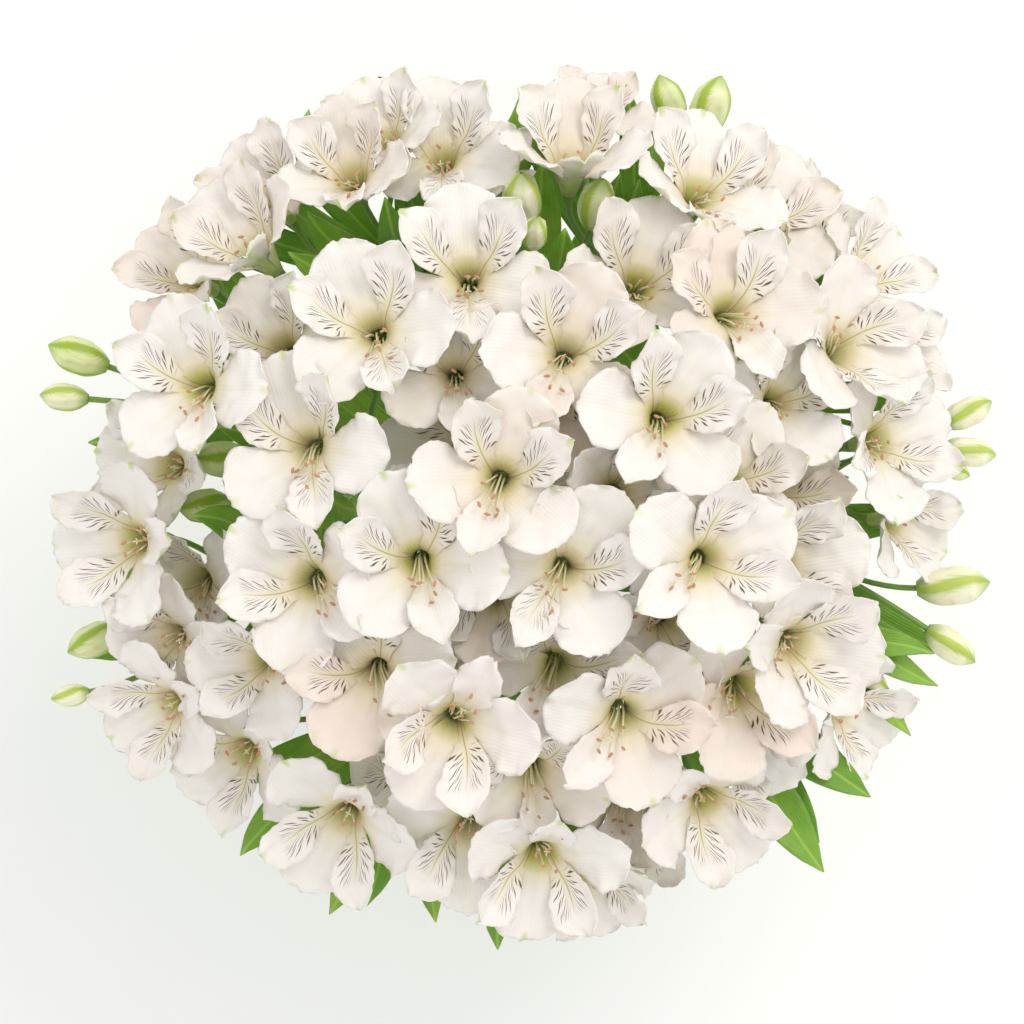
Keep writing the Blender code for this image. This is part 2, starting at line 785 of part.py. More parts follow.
def fit_limbs(owners, bloom, waves, jitters, matrix):
    """Bend and length for each tepal, the first that clears all else, and how much they cost its shape."""
    gives = []
    kept_clear = [entry for spot, entry in reserved.items() if spot != (bloom.column, bloom.row)]
    cost = 0
    for tepal, wave, jitter in zip(TEPALS, waves, jitters):
        for bend, share in FLEXES:
            shape = limb(tepal, bloom.opening, wave, bend + jitter, share, matrix)
            if not room.clashes(owners, shape, kept_clear):
                break
        else:
            cost += BLOCKED
        cost += 1 - share + abs(bend) / 90
        gives.append((bend + jitter, share))
        kept_clear.append(room.entry(shape))
    return gives, cost


def fit_bloom(owners, twins, bloom, waves, jitters):
    """The place along its axis, and the tepals' bends and lengths, that cost the bloom least."""
    best = None
    for sink in SINKS:
        matrix = bloom_matrix(bloom, sink) @ Matrix.Scale(bloom.size, 4)
        if room.clashes(owners + twins, core(matrix)):
            continue
        gives, cost = fit_limbs(owners, bloom, waves, jitters, matrix)
        cost += abs(sink) / SINK_COST + bool(room.clashes(owners, core(matrix)))
        if best is None or cost < best[0]:
            best = (cost, sink, gives)
        if cost < GOOD_FIT:
            break
    if best is None or best[0] >= BLOCKED:
        raise ValueError(f"no room for the bloom at {bloom.column}, {bloom.row}")
    return best[1], best[2]


def ray_curve(start, heading, end, axis, bend):
    reach = end - start
    first, last, push, turn = bend
    side = reach.cross(Vector((0, 0, 1))).normalized()
    aside = Matrix.Rotation(math.radians(turn), 3, reach) @ side * push
    length = reach.length
    return (start, start + heading * length * first + aside, end - axis * length * last, end)


def ray_start(name):
    """Where the next ray leaves the top of a stem, each a little lower than the last, and its heading."""
    grown[name] = grown.get(name, 0) + 1
    z = umbels[name].z - RAY_TOP - grown[name] * RAY_STEP
    place = paths[name](z)
    return place, (paths[name](z + MM) - place).normalized()


bloom_count = 0
for name, ray in order:
    stem_node = f"leafy_stem_{name}"
    stem_end, stem_heading = ray_start(name)
    if len(ray) == 1:
        node = f"bloom_{bloom_count + 1:02d}"
    else:
        node = f"blooms_{bloom_count + 1:02d}_{bloom_count + 2:02d}"
    fork = None
    for bloom in ray:
        label = f"bloom {bloom_count + 1}"
        twins = () if fork is None else (f"bloom {bloom_count}",)
        waves = [draws.uniform(-1, 1) * WAVE for _ in TEPALS]
        jitters = [draws.uniform(-1, 1) * JITTER for _ in TEPALS]
        sink, gives = fit_bloom((label, node), twins, bloom, waves, jitters)
        del reserved[bloom.column, bloom.row]
        matrix = bloom_matrix(bloom, sink) @ Matrix.Scale(bloom.size, 4)
        axis = (matrix.to_3x3() @ Vector((0, 0, 1))).normalized()
        base = matrix.translation.copy()
        start, heading = (stem_end, stem_heading) if fork is None else fork
        heading = (heading + (base - start).normalized()).normalized()
        length = (base - start).length
        ovary = OVARY_RADIUS * bloom.size

        def stalks(bend, swell=0.0):
            """The stalk that belongs to the stem, the one that belongs to the bloom, or both."""
            curve = ray_curve(start, heading, base, axis, bend)
            if len(ray) == 1:
                return [(stem_node, ray_solid(curve, 0, 1 - FACE_GAP / length, ovary, swell))]
            sunk = (*curve[:3], base + axis * HUB_SINK)
            if fork is not None:
                return [(node, ray_solid(sunk, 0, 1, ovary * 0.85, swell))]
            return [
                (stem_node, ray_solid(sunk, 0, FORK_SHARE - FACE_GAP / length, RAY_RADIUS, swell)),
                (node, ray_solid(sunk, FORK_SHARE, 1, ovary * 0.85, swell)),
            ]

        cup = core(matrix @ Matrix.Translation((0, 0, HUB_HEIGHT)), FACE_GAP)
        limbs = limbs_of(bloom, waves, gives, matrix)
        own = [room.entry(shape) for shape in (cup, *limbs)]

        def tried(bend):
            curve = ray_curve(start, heading, base, axis, bend)
            outer = ray_solid(curve, OUTER_SHARE, 1 - FACE_GAP / length, ovary, CLEARANCE)
            return stalks(bend, CLEARANCE), [outer]

        bend = first_clear(RAY_BENDS, tried, f"the ray of {label}", own)
        for owner, solid in stalks(bend):
            fuse_later(owner, solid)
            room.add(owner, solid)
        if len(ray) > 1 and fork is None:
            curve = ray_curve(start, heading, base, axis, bend)
            join = FORK_SHARE + FORK_ROOT / length
            fork = (bezier(curve, join), bezier_heading(curve, join))
        room.add(label, core(matrix, FACE_GAP))
        for shape in limbs:
            room.add(label, shape)
        fuse_later(node, bloom_solid(matrix, bloom.opening, waves, gives))
        bloom_count += 1

# Buds, on rays of the nearest head


def place_of_tip(column, row, sink):
    tip, out = dome_place(column, row)
    return tip + out * sink, out


def nearest_head(point):
    return min(HEADS, key=lambda name: (umbels[name] - point).length)


def pointing(degrees, rise):
    turn = math.radians(degrees)
    lift = math.radians(rise)
    return Vector((math.cos(turn) * math.cos(lift), math.sin(turn) * math.cos(lift), math.sin(lift)))


for column, row, degrees, length, rise in BUDS:
    heading = pointing(degrees, rise)
    tip, _ = place_of_tip(column, row, 0)
    name = nearest_head(tip)
    node = f"leafy_stem_{name}"
    start, stem_heading = ray_start(name)
    size = length * MM

    def bud_base(sink):
        tip, _ = place_of_tip(column, row, sink)
        return tip - heading * size

    def tried_bud(sink):
        solid = bud_solid(bud_base(sink), heading, size, CLEARANCE)
        return [(node, solid)], [solid]

    sink = first_clear(BUD_SINKS, tried_bud, f"the bud at {column}, {row}")
    base = bud_base(sink)
    towards = (stem_heading + (base - start).normalized()).normalized()
    stalk_end = base + heading * size * BUD_SEAT

    def bud_stalk(bend, first=0, swell=0.0):
        return ray_solid(ray_curve(start, towards, stalk_end, heading, bend), first, 1, RAY_RADIUS, swell)

    def tried_stalk(bend):
        return [(node, bud_stalk(bend, 0, CLEARANCE))], [bud_stalk(bend, OUTER_SHARE, CLEARANCE)]

    bend = first_clear(RAY_BENDS, tried_stalk, f"the ray of the bud at {column}, {row}")
    for solid in (bud_stalk(bend), bud_solid(base, heading, size)):
        fuse_later(node, solid)
        room.add(node, solid)

# Leaves


def leaf_curve(root, root_heading, tip, heading, give):
    """From its root to the tip, swung round the root and shortened as it gives way."""
    swing, rise, share = give
    reach = tip - root
    reach = Matrix.Rotation(math.radians(swing), 3, "Z") @ reach * share
    end_heading = Matrix.Rotation(math.radians(swing), 3, "Z") @ heading
    end = root + reach + Vector((0, 0, rise))
    length = (end - root).length
    start_heading = (root_heading + reach.normalized()).normalized()
    reach = length * LEAF_REACH
    return (root, root + start_heading * reach, end - end_heading * reach, end)


def grow_leaf(name, root, root_heading, tip, heading, width):
    node = f"leafy_stem_{name}"

    def blade(give, first=0, swell=0.0):
        curve = leaf_curve(root, root_heading, tip, heading, give)
        return leaf_solid(curve, width, LEAF_STATIONS[first:], swell)

    def tried(give):
        return [(node, blade(give, 0, CLEARANCE))], [blade(give, 1, CLEARANCE)]

    give = first_clear(LEAF_GIVES, tried, f"a leaf of {name}")
    solid = blade(give)
    fuse_later(node, solid)
    room.add(node, solid)


for column, row, degrees, width, rise in LEAVES:
    heading = pointing(degrees, rise)
    tip, _ = place_of_tip(column, row, -LEAF_DEPTH)
    name = nearest_head(tip)
    root, root_heading = ray_start(name)
    grow_leaf(name, root, root_heading, tip, heading, width * MM)

for name in HEADS:
    span = umbels[name].z - TIE_HEIGHT
    for k in range(STEM_LEAVES[stems[name][0]]):
        z = TIE_HEIGHT + span * (STEM_LEAF_START + STEM_LEAF_STEP * k)
        root = paths[name](z)
        root_heading = (paths[name](z + MM) - root).normalized()
        turn = draws.uniform(-1, 1) * STEM_LEAF_SCATTER + GOLDEN_ANGLE * k
        outward = math.degrees(math.atan2(root.y, root.x)) if stems[name][0] == "outer" else turn
        azimuth = outward + STEM_LEAF_TURN * turn
        tip = root + pointing(azimuth, STEM_LEAF_RISE) * STEM_LEAF_LENGTH
        grow_leaf(name, root, root_heading, tip, pointing(azimuth, STEM_LEAF_DROOP), STEM_LEAF_WIDTH)

# The tie


def waist_at(height):
    """Inner radius of the tie at a height from its middle: just outside the corners of all the stems."""
    z = TIE_HEIGHT + height
    reach = 0
    for points in stem_corners:
        for low, high in zip(points, points[STEM_SIDES:]):
            if low.z <= z < high.z:
                corner = low.lerp(high, (z - low.z) / (high.z - low.z))
                reach = max(reach, math.hypot(corner.x, corner.y))
    return (reach + FACE_GAP) / math.cos(math.pi / TIE_SIDES)


def tie_solid():
    """A waisted band with a ridge for each turn, closed round the bundle."""
    half = TIE_TURNS * TIE_TURN / 2
    steps = 2 * TIE_TURNS
    profile = []
    for k in range(steps + 1):
        height = half - 2 * half * k / steps
        ridge = TIE_THICKNESS - (TIE_GROOVE if k % 2 == 0 else 0)
        profile.append((waist_at(height) + ridge, height))
    profile += [(waist_at(height), height) for height in (-half, 0, half)]
    points = []
    faces = []
    for k in range(TIE_SIDES):
        turn = math.tau * k / TIE_SIDES
        for radius, height in profile:
            points.append(Vector((math.cos(turn) * radius, math.sin(turn) * radius, TIE_HEIGHT + height)))
    size = len(profile)
    for k in range(TIE_SIDES):
        for j in range(size):
            following = (k + 1) % TIE_SIDES
            after = (j + 1) % size
            faces.append((k * size + j, following * size + j, following * size + after, k * size + after))
    return points, faces


TIE = "raffia_tie"
fuse_later(TIE, tie_solid())
out = pointing(KNOT_SIDE, 0)
across = Vector((-out.y, out.x, 0))
knot = out * (waist_at(0) + TIE_THICKNESS + KNOT_STAND) + Vector((0, 0, TIE_HEIGHT))
fuse_later(TIE, bud_solid(knot - across * KNOT_LENGTH / 2, across, KNOT_LENGTH))
for way in (-1, 1):
    drop = Vector((0, 0, TAIL_DROP - way * TAIL_UNEVEN))
    root = knot + across * way * KNOT_LENGTH / 5 + Vector((0, 0, way * BLADE))
    tip = root + out * TAIL_OUT + across * way * TAIL_SPREAD - drop
    curve = (root, root + out * TAIL_OUT * 0.7 + across * way * TAIL_SPREAD * 0.35, tip + drop / 2, tip)
    fuse_later(TIE, leaf_solid(curve, TAIL_WIDTH, TAIL_STATIONS))


# Objects

def material(name, colour, roughness):
    made = bpy.data.materials.new(name)
    made.use_nodes = True
    shader = made.node_tree.nodes["Principled BSDF"]
    shader.inputs["Base Color"].default_value = (*colour, 1)
    shader.inputs["Roughness"].default_value = roughness
    return made


def mesh_object(name, solid):
    points, faces = solid
    mesh = bpy.data.meshes.new(name)
    mesh.from_pydata(points, [], faces)
    work = bmesh.new()
    work.from_mesh(mesh)
    bmesh.ops.triangulate(work, faces=[face for face in work.faces if len(face.verts) > 3])
    bmesh.ops.recalc_face_normals(work, faces=work.faces)
    work.to_mesh(mesh)
    work.free()
    made = bpy.data.objects.new(name, mesh)
    bpy.context.scene.collection.objects.link(made)
    return made


def keep_outer_skin(mesh):
    """Fills the hollows that a union sealed, and drops loose scraps: only the largest skin stays."""
    work = bmesh.new()
    work.from_mesh(mesh)
    unseen = set(work.faces)
    skins = []
    while unseen:
        front = [unseen.pop()]
        skin = list(front)
        while front:
            near = {face for edge in front.pop().edges for face in edge.link_faces} & unseen
            unseen -= near
            front += near
            skin += near
        skins.append(skin)
    skins.sort(key=len)
    bmesh.ops.delete(work, geom=[face for skin in skins[:-1] for face in skin], context="FACES")
    work.to_mesh(mesh)
    work.free()


def fused(name, pieces):
    """One object from a node's solids, joined by a Boolean union that is applied."""
    whole = mesh_object(name, pieces[0])
    if len(pieces) > 1:
        rest = bpy.data.collections.new("rest")
        bpy.context.scene.collection.children.link(rest)
        parts = [mesh_object(f"{name}_piece", piece) for piece in pieces[1:]]
        for part in parts:
            bpy.context.scene.collection.objects.unlink(part)
            rest.objects.link(part)
        union = whole.modifiers.new("union", "BOOLEAN")
        union.operation = "UNION"
        union.operand_type = "COLLECTION"
        union.collection = rest
        union.solver = "MANIFOLD"
        graph = bpy.context.evaluated_depsgraph_get()
        joined = bpy.data.meshes.new_from_object(whole.evaluated_get(graph))
        whole.modifiers.clear()
        whole.data = joined
        keep_outer_skin(joined)
        for part in parts:
            bpy.data.objects.remove(part)
        bpy.data.collections.remove(rest)
    whole.data.shade_smooth()
    whole.data.set_sharp_from_angle(angle=math.radians(35))
    return whole


for node, pieces in solids.items():
    if node.startswith("leafy_stem"):
        look = material(f"green_{node}", GREEN, 0.45)
    elif node == TIE:
        look = material("raffia", STRAW, 0.8)
    else:
        look = material(f"white_{node}", CREAM_WHITE, 0.55)
    made = fused(node, pieces)
    made.data.materials.clear()
    made.data.materials.append(look)
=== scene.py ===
# White alstroemeria, hand-tied in a round spiral bunch that stands on its cut ends.
# Metres, +Z up. The origin is on the surface that it stands on, below the middle of the dome.

import math
import random
from collections import namedtuple

import bpy
from mathutils import Matrix, Vector, kdtree, noise


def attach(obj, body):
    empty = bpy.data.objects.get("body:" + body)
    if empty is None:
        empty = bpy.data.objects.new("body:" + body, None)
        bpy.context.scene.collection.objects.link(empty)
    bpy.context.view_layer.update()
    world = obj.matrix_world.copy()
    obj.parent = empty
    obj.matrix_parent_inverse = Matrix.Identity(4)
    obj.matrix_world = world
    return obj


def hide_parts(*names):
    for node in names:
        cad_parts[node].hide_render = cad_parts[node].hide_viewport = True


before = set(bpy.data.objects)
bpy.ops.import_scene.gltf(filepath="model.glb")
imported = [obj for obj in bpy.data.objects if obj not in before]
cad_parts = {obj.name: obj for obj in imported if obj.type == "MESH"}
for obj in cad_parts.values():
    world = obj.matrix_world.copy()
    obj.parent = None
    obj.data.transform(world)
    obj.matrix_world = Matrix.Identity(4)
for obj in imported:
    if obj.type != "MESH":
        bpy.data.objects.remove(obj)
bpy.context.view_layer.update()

# The flowering stems: fourteen stems of alstroemeria, gathered in a spiral and cut level.
# Each is a juicy green stalk whose top carries an umbel of thin rays, one bloom on most and two
# on a forked one. Below its bloom each ray swells into a green ovary with six ribs.
MM = 0.001
UP = Vector((0, 0, 1))
DOME_RADIUS = 172 * MM
DOME_RISE = 122 * MM
DOME_MIDDLE = 252 * MM
DOME_EDGE = 0.97
FACING_SHARE = 0.72
VIEW_MIDDLE = (503, 498)
VIEW_STEP = 0.38 * MM
VIEW_TOP = 395 * MM
EYE_HEIGHT = 1750 * MM
SETTLING_STEPS = 12

HUB_RADIUS = 2.7 * MM
THROAT_RADIUS = 9.2 * MM
THROAT_DEPTH = 18 * MM
STEM_RADIUS = 2.9 * MM
RAY_RADIUS = 1.3 * MM
OVARY_RADIUS = 2.5 * MM
OVARY_LENGTH = 8 * MM
UMBEL_REACH = 70 * MM
FORK_SHARE = 0.45
HUB_SINK = 2 * MM
RAY_TOP = 2 * MM
RAY_STEP = 1.1 * MM
FORK_ROOT = 3 * MM
TIE_HEIGHT = 130 * MM
RAY_MIDDLE = 0.4  # where along a ray its solid has its middle section

Bloom = namedtuple("Bloom", "column row streaks lift size opening lean")


def at(column, row, streaks, lift=0, size=1.0, opening=1.0, lean=(0, 0)):
    """A bloom whose throat shows at that column and row; streaks is the way its marked side points."""
    return Bloom(column, row, streaks, lift * MM, size, opening, lean)


# Each head: the ring its stem stands in, and its rays. A ray carries one bloom, or forks into two.
# Columns and rows are those of the view from above, VIEW_STEP apart at the top of the dome.
HEADS = {
    "centre": ("middle", (
        (at(500, 478, 70, 9),),
        (at(420, 558, 110, 6), at(494, 604, 250, -14, 0.8)),
        (at(562, 565, 54, 6),),
        (at(436, 448, 172, -5, lean=(-0.35, 0.1)), at(550, 402, 60, -12, 0.85)),
    )),
    "right": ("inner", (
        (at(660, 418, 58, 5), at(735, 478, 60, -6, 0.9)),
        (at(690, 555, 30, 0), at(678, 630, -15, -5, 0.9)),
        (at(622, 492, 20, -8, 0.9), at(612, 430, 120, -14, 0.8)),
    )),
    "back": ("inner", (
        (at(565, 355, 68, 4),),
        (at(467, 275, 95, 0), at(452, 366, 100, -8, 0.85)),
        (at(645, 272, 75, 0),),
    )),
    "left": ("inner", (
        (at(375, 332, 112, 4), at(272, 340, 120, -8, 0.85)),
        (at(310, 445, 105, 3),),
        (at(312, 580, 146, 3),),
    )),
    "front": ("inner", (
        (at(375, 668, 129, 3), at(440, 648, 100, -10, 0.8)),
        (at(558, 672, 60, 0),),
        (at(622, 712, 45, 4),),
        (at(455, 712, 240, -2),),
    )),
    "rim_right": ("outer", (
        (at(785, 565, 10, 2), at(806, 492, 45, -4, 0.9)),
        (at(880, 440, 20, 0, 0.95), at(905, 520, -20, -4, 0.8)),
        (at(792, 642, -10, 3),),
    )),
    "rim_back_right": ("outer", (
        (at(835, 350, -15, 4), at(790, 395, 60, -8, 0.85)),
        (at(728, 312, 108, 2),),
        (at(862, 275, 40, 0, 0.9), at(902, 345, 0, -6, 0.8)),
    )),
    "rim_back": ("outer", (
        (at(700, 190, 80, 0),),
        (at(765, 215, 60, -2, 0.95), at(815, 215, 45, -4, 0.8)),
        (at(572, 160, 90, 0, 1.0, 0.7, (0, 0.35)), at(598, 108, 85, -4, 0.7)),
    )),
    "rim_back_left": ("outer", (
        (at(440, 150, 95, 0, 0.95), at(480, 128, 80, -6, 0.75)),
        (at(352, 178, 100, 2, 0.9, 0.75), at(385, 140, 110, -2, 0.8)),
        (at(255, 250, 130, 2, 1.0, 0.75, (-0.3, 0.3)), at(268, 190, 130, -4, 0.9)),
    )),
    "rim_left": ("outer", (
        (at(218, 392, 110, 4),),
        (at(188, 272, 140, -2, 0.9),),
        (at(142, 462, 170, 0, 0.95),),
    )),
    "rim_front_left": ("outer", (
        (at(135, 540, 185, 2),),
        (at(160, 592, 150, -2, 0.9), at(165, 640, 190, -4, 0.85)),
        (at(172, 702, 210, 2, 0.9), at(255, 668, 180, -6, 0.85)),
    )),
    "rim_front": ("outer", (
        (at(345, 815, 240, 2), at(405, 818, 90, -2, 0.9)),
        (at(470, 828, 265, 0),),
        (at(232, 762, 220, 0, 0.95),),
    )),
    "rim_front_right": ("outer", (
        (at(540, 852, 262, 3), at(532, 780, 100, -6, 0.9)),
        (at(592, 880, 280, -2, 0.8), at(635, 872, 290, -4, 0.85)),
        (at(638, 820, 60, 0, 0.85, 0.7),),
    )),
    "rim_right_front": ("outer", (
        (at(742, 690, 5, 3),),
        (at(706, 800, 310, 1, 0.95),),
        (at(752, 752, 320, -5, 0.85), at(848, 712, 330, -2, 0.85)),
    )),
}
# Ring: radius of its stems at the tie, at the cut ends, and how fast they wind
RINGS = {
    "middle": (0.0, 2 * MM, 0.0),
    "inner": (6.2 * MM, 34 * MM, 0.26),
    "outer": (12.5 * MM, 68 * MM, 0.48),
}
# What a piece may have given way by, as the solids did: a bloom along its axis, a ray's two ends and side
SINKS = tuple(step * MM for step in (0, -4, 4, -8, 8, -12, 12, -16, 16, -22, 22))
RAY_BENDS = tuple(
    (first, last, push * MM, turn)
    for push in (0, 7, 14, 22, 30, 40, 52)
    for turn in (range(0, 360, 45) if push else (0,))
    for first, last in ((0.35, 0.35), (0.5, 0.25), (0.2, 0.5), (0.6, 0.5), (0.2, 0.15))
)


def dome_place(column, row):
    """The point of the dome seen at that column and row, and the dome's outward direction there."""
    offset = Vector((column - VIEW_MIDDLE[0], VIEW_MIDDLE[1] - row)) * VIEW_STEP
    z = DOME_MIDDLE + DOME_RISE
    for _ in range(SETTLING_STEPS):
        flat = offset * (EYE_HEIGHT - z) / (EYE_HEIGHT - VIEW_TOP)
        share = min(flat.length / DOME_RADIUS, DOME_EDGE)
        z = DOME_MIDDLE + DOME_RISE * math.sqrt(1 - share * share)
    spread = share * DOME_RADIUS / max(flat.length, MM)
    out = Vector((flat.x * spread, flat.y * spread, 0)) / DOME_RADIUS**2
    out.z = (z - DOME_MIDDLE) / DOME_RISE**2
    return Vector((flat.x, flat.y, z)), out.normalized()


def bloom_matrix(bloom, sink):
    """The bloom's own axes: Z the way it faces, Y its streaked side, origin at the end of the ovary."""
    throat, out = dome_place(bloom.column, bloom.row)
    throat += out * bloom.lift
    tilt = out.angle(UP, 0) * FACING_SHARE
    flat = Vector((out.x, out.y, 0))
    flat = flat.normalized() if flat.length > 1e-6 else Vector((0, 1, 0))
    facing = flat * math.sin(tilt) + UP * math.cos(tilt)
    facing = (facing + Vector((*bloom.lean, 0))).normalized()
    streaks = math.radians(bloom.streaks)
    marked = Vector((math.cos(streaks), math.sin(streaks), 0))
    marked = (marked - facing * marked.dot(facing)).normalized()
    base = throat + facing * (sink - THROAT_DEPTH * bloom.size)
    turn = Matrix((marked.cross(facing), marked, facing)).transposed().to_4x4()
    return Matrix.Translation(base) @ turn


def bezier(points, t):
    a, b, c, d = points
    s = 1 - t
    return a * s**3 + b * (3 * s * s * t) + c * (3 * s * t * t) + d * t**3


def bezier_heading(points, t):
    a, b, c, d = points
    s = 1 - t
    return ((b - a) * (s * s) + (c - b) * (2 * s * t) + (d - c) * (t * t)).normalized()


def umbel_of(rays):
    """Below the middle of the head's blooms, by the reach of its rays."""
    matrices = [bloom_matrix(bloom, 0) for ray in rays for bloom in ray]
    places = sum((matrix @ Vector((0, 0, THROAT_DEPTH)) for matrix in matrices), Vector())
    facings = sum((matrix.to_3x3() @ UP for matrix in matrices), Vector())
    return places / len(matrices) - facings.normalized() * UMBEL_REACH


umbels = {name: umbel_of(rays) for name, (_, rays) in HEADS.items()}
stems = {}
for ring in RINGS:
    names = [name for name, (own, _) in HEADS.items() if own == ring]
    names.sort(key=lambda name: math.atan2(umbels[name].y, umbels[name].x))
    for slot, name in enumerate(names):
        stems[name] = (ring, slot, len(names))


def ring_offset(ring):
    """Turns a ring's even places at the tie so that its stems drift least to their umbels."""
    members = [name for name in HEADS if stems[name][0] == ring]
    tie_radius, _, winding = RINGS[ring]
    if tie_radius == 0:
        return 0
    total = Vector((0, 0))
    for name in members:
        _, slot, slots = stems[name]
        umbel = umbels[name]
        wound = math.atan(winding * (umbel.z - TIE_HEIGHT) / tie_radius)
        angle = math.atan2(umbel.y, umbel.x) - wound - math.tau * slot / slots
        total += Vector((math.cos(angle), math.sin(angle)))
    return math.atan2(total.y, total.x) / math.tau * stems[members[0]][2]


offsets = {ring: ring_offset(ring) for ring in RINGS}


def stem_place(name, z):
    """The middle of a stem at height z: a spiral bundle, narrow at the tie and splayed at the cut ends."""
    ring, slot, slots = stems[name]
    target = umbels[name]
    tie_radius, foot_radius, winding = RINGS[ring]
    above = z - TIE_HEIGHT
    tall = target.z - TIE_HEIGHT
    rise = min(1.0, max(0.0, above / tall))
    if ring == "middle":
        return Vector((target.x * rise**2, target.y * rise**2, z))
    reach = Vector((target.x, target.y)).length if above > 0 else foot_radius
    slope = math.sqrt(max(reach**2 - tie_radius**2, 0)) / (tall if above > 0 else TIE_HEIGHT)
    radius = math.hypot(tie_radius, slope * above)
    start = math.tau * (slot + offsets[ring]) / slots
    end = start + math.atan(winding * tall / tie_radius)
    drift = (math.atan2(target.y, target.x) - end + math.pi) % math.tau - math.pi
    angle = start + math.atan(winding * above / tie_radius) + drift * rise * rise * (3 - 2 * rise)
    return Vector((math.cos(angle) * radius, math.sin(angle) * radius, z))


def stem_heading(name, z):
    return (stem_place(name, z + MM) - stem_place(name, z)).normalized()


def corners(node):
    """The corners of a solid, which show the way that each of its pieces took."""
    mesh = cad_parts[node].data
    tree = kdtree.KDTree(len(mesh.vertices))
    for k, vertex in enumerate(mesh.vertices):
        tree.insert(vertex.co, k)
    tree.balance()
    return tree


def taken(options, probe, tree):
    """The option whose points lie nearest to the corners of the solid."""
    return min(options, key=lambda option: sum(tree.find(point)[2] for point in probe(option)))


def ring_points(centres, radii, headings, sides):
    """Rings of points square to the heading at each centre, carried along without a twist."""
    rings = []
    side = headings[0].orthogonal().normalized()
    for centre, radius, heading in zip(centres, radii, headings):
        side = (side - heading * side.dot(heading)).normalized()
        other = heading.cross(side)
        turns = [math.tau * k / sides for k in range(sides)]
        rings.append([centre + (side * math.cos(turn) + other * math.sin(turn)) * radius for turn in turns])
    return rings


def ray_curve(start, heading, end, axis, bend):
    reach = end - start
    first, last, push, turn = bend
    side = reach.cross(UP).normalized()
    aside = Matrix.Rotation(math.radians(turn), 3, reach) @ side * push
    return (start, start + heading * reach.length * first + aside, end - axis * reach.length * last, end)


def ray_probe(curve, start, end, radius):
    """The corners that the solid of a ray has between its two ends."""
    neck = end - OVARY_LENGTH / (curve[3] - curve[0]).length * (radius > RAY_RADIUS)
    stations = (start, start + (neck - start) * RAY_MIDDLE, neck)
    centres = [bezier(curve, t) for t in stations]
    headings = [bezier_heading(curve, t) for t in stations]
    rings = ring_points(centres, [RAY_RADIUS] * len(stations), headings, 3)
    return rings[1] + rings[2]


rays_grown = {}


def ray_start(name):
    """Where the next ray leaves the top of a stem, each a little lower than the last, and its heading."""
    rays_grown[name] = rays_grown.get(name, 0) + 1
    z = umbels[name].z - RAY_TOP - rays_grown[name] * RAY_STEP
    return stem_place(name, z), stem_heading(name, z)


class Skin:
    """The surface of one piece: points, faces with a finish each, and the two marks that finishes read."""

    def __init__(self):
        self.points = []
        self.faces = []
        self.finishes = []
        self.places = []  # millimetres across, millimetres along, a number of its own
        self.tones = []  # three shares, such as how far along or how blushed

    def sheet(self, rows, finish=0, closed=False):
        """Faces between rows of (point, place, tone); closed joins the two ends of every row."""
        first = len(self.points)
        width = len(rows[0])
        for row in rows:
            for point, place, tone in row:
                self.points.append(point)
                self.places.append(place)
                self.tones.append(tone)
        for a in range(first, first + (len(rows) - 1) * width, width):
            for b in range(width if closed else width - 1):
                c = (b + 1) % width
                self.faces.append((a + b, a + c, a + width + c, a + width + b))
                self.finishes.append(finish)
        return first

    def lid(self, ring, finish=0, back=False):
        """Closes the end of a tube across the given points; back turns the face the other way."""
        self.faces.append(tuple(reversed(ring)) if back else tuple(ring))
        self.finishes.append(finish)


def tube(skin, centres, radii, headings, sides, own, lids, finish=0, flute=None):
    """Adds a tube; lids has the finishes of its ends, flute gives the radius's share at a turn and a row."""
    rings = ring_points(centres, radii, headings, sides)
    rows = []
    along = 0.0
    for k, (centre, ring) in enumerate(zip(centres, rings)):
        along += (centre - centres[max(k - 1, 0)]).length / MM
        row = []
        for j, point in enumerate(ring):
            turn = math.tau * j / sides
            if flute is not None:
                point = centre + (point - centre) * flute(turn, k / (len(rings) - 1))
            tone = (k / (len(rings) - 1), turn / math.tau, 0)
            row.append((point, (radii[k] / MM * turn, along, own), tone))
        rows.append(row)
    first = skin.sheet(rows, finish, closed=True)
    last = first + sides * (len(rings) - 1)
    skin.lid(range(first, first + sides), lids[0], back=True)
    skin.lid(range(last, last + sides), lids[1])


def linear(colour):
    """The linear value of an sRGB hex colour."""
    channels = [int(colour[k:k + 2], 16) / 255 for k in (1, 3, 5)]
    return (*(c / 12.92 if c <= 0.04045 else ((c + 0.055) / 1.055) ** 2.4 for c in channels), 1)


def add(material, kind, inputs, out=0, **settings):
    """Adds a node with its settings, values and links, and gives one of its outputs."""
    made = material.node_tree.nodes.new(kind)
    for name, value in settings.items():
        setattr(made, name, value)
    for socket, value in inputs.items():
        if isinstance(value, bpy.types.NodeSocket):
            material.node_tree.links.new(value, made.inputs[socket])
        else:
            made.inputs[socket].default_value = value
    return made.outputs[out]


def finish_named(name, **values):
    """A material with one shader, and the shader's fixed values."""
    material = bpy.data.materials.new(name)
    material.use_nodes = True
    shader = material.node_tree.nodes["Principled BSDF"]
    for socket, value in values.items():
        shader.inputs[socket.replace("_", " ")].default_value = value
    return material, shader


CREASE = math.radians(60)  # past this angle an edge looks sharp
COLOURS = {"out": 2, "data_type": "RGBA"}  # what makes a mix node mix two colours


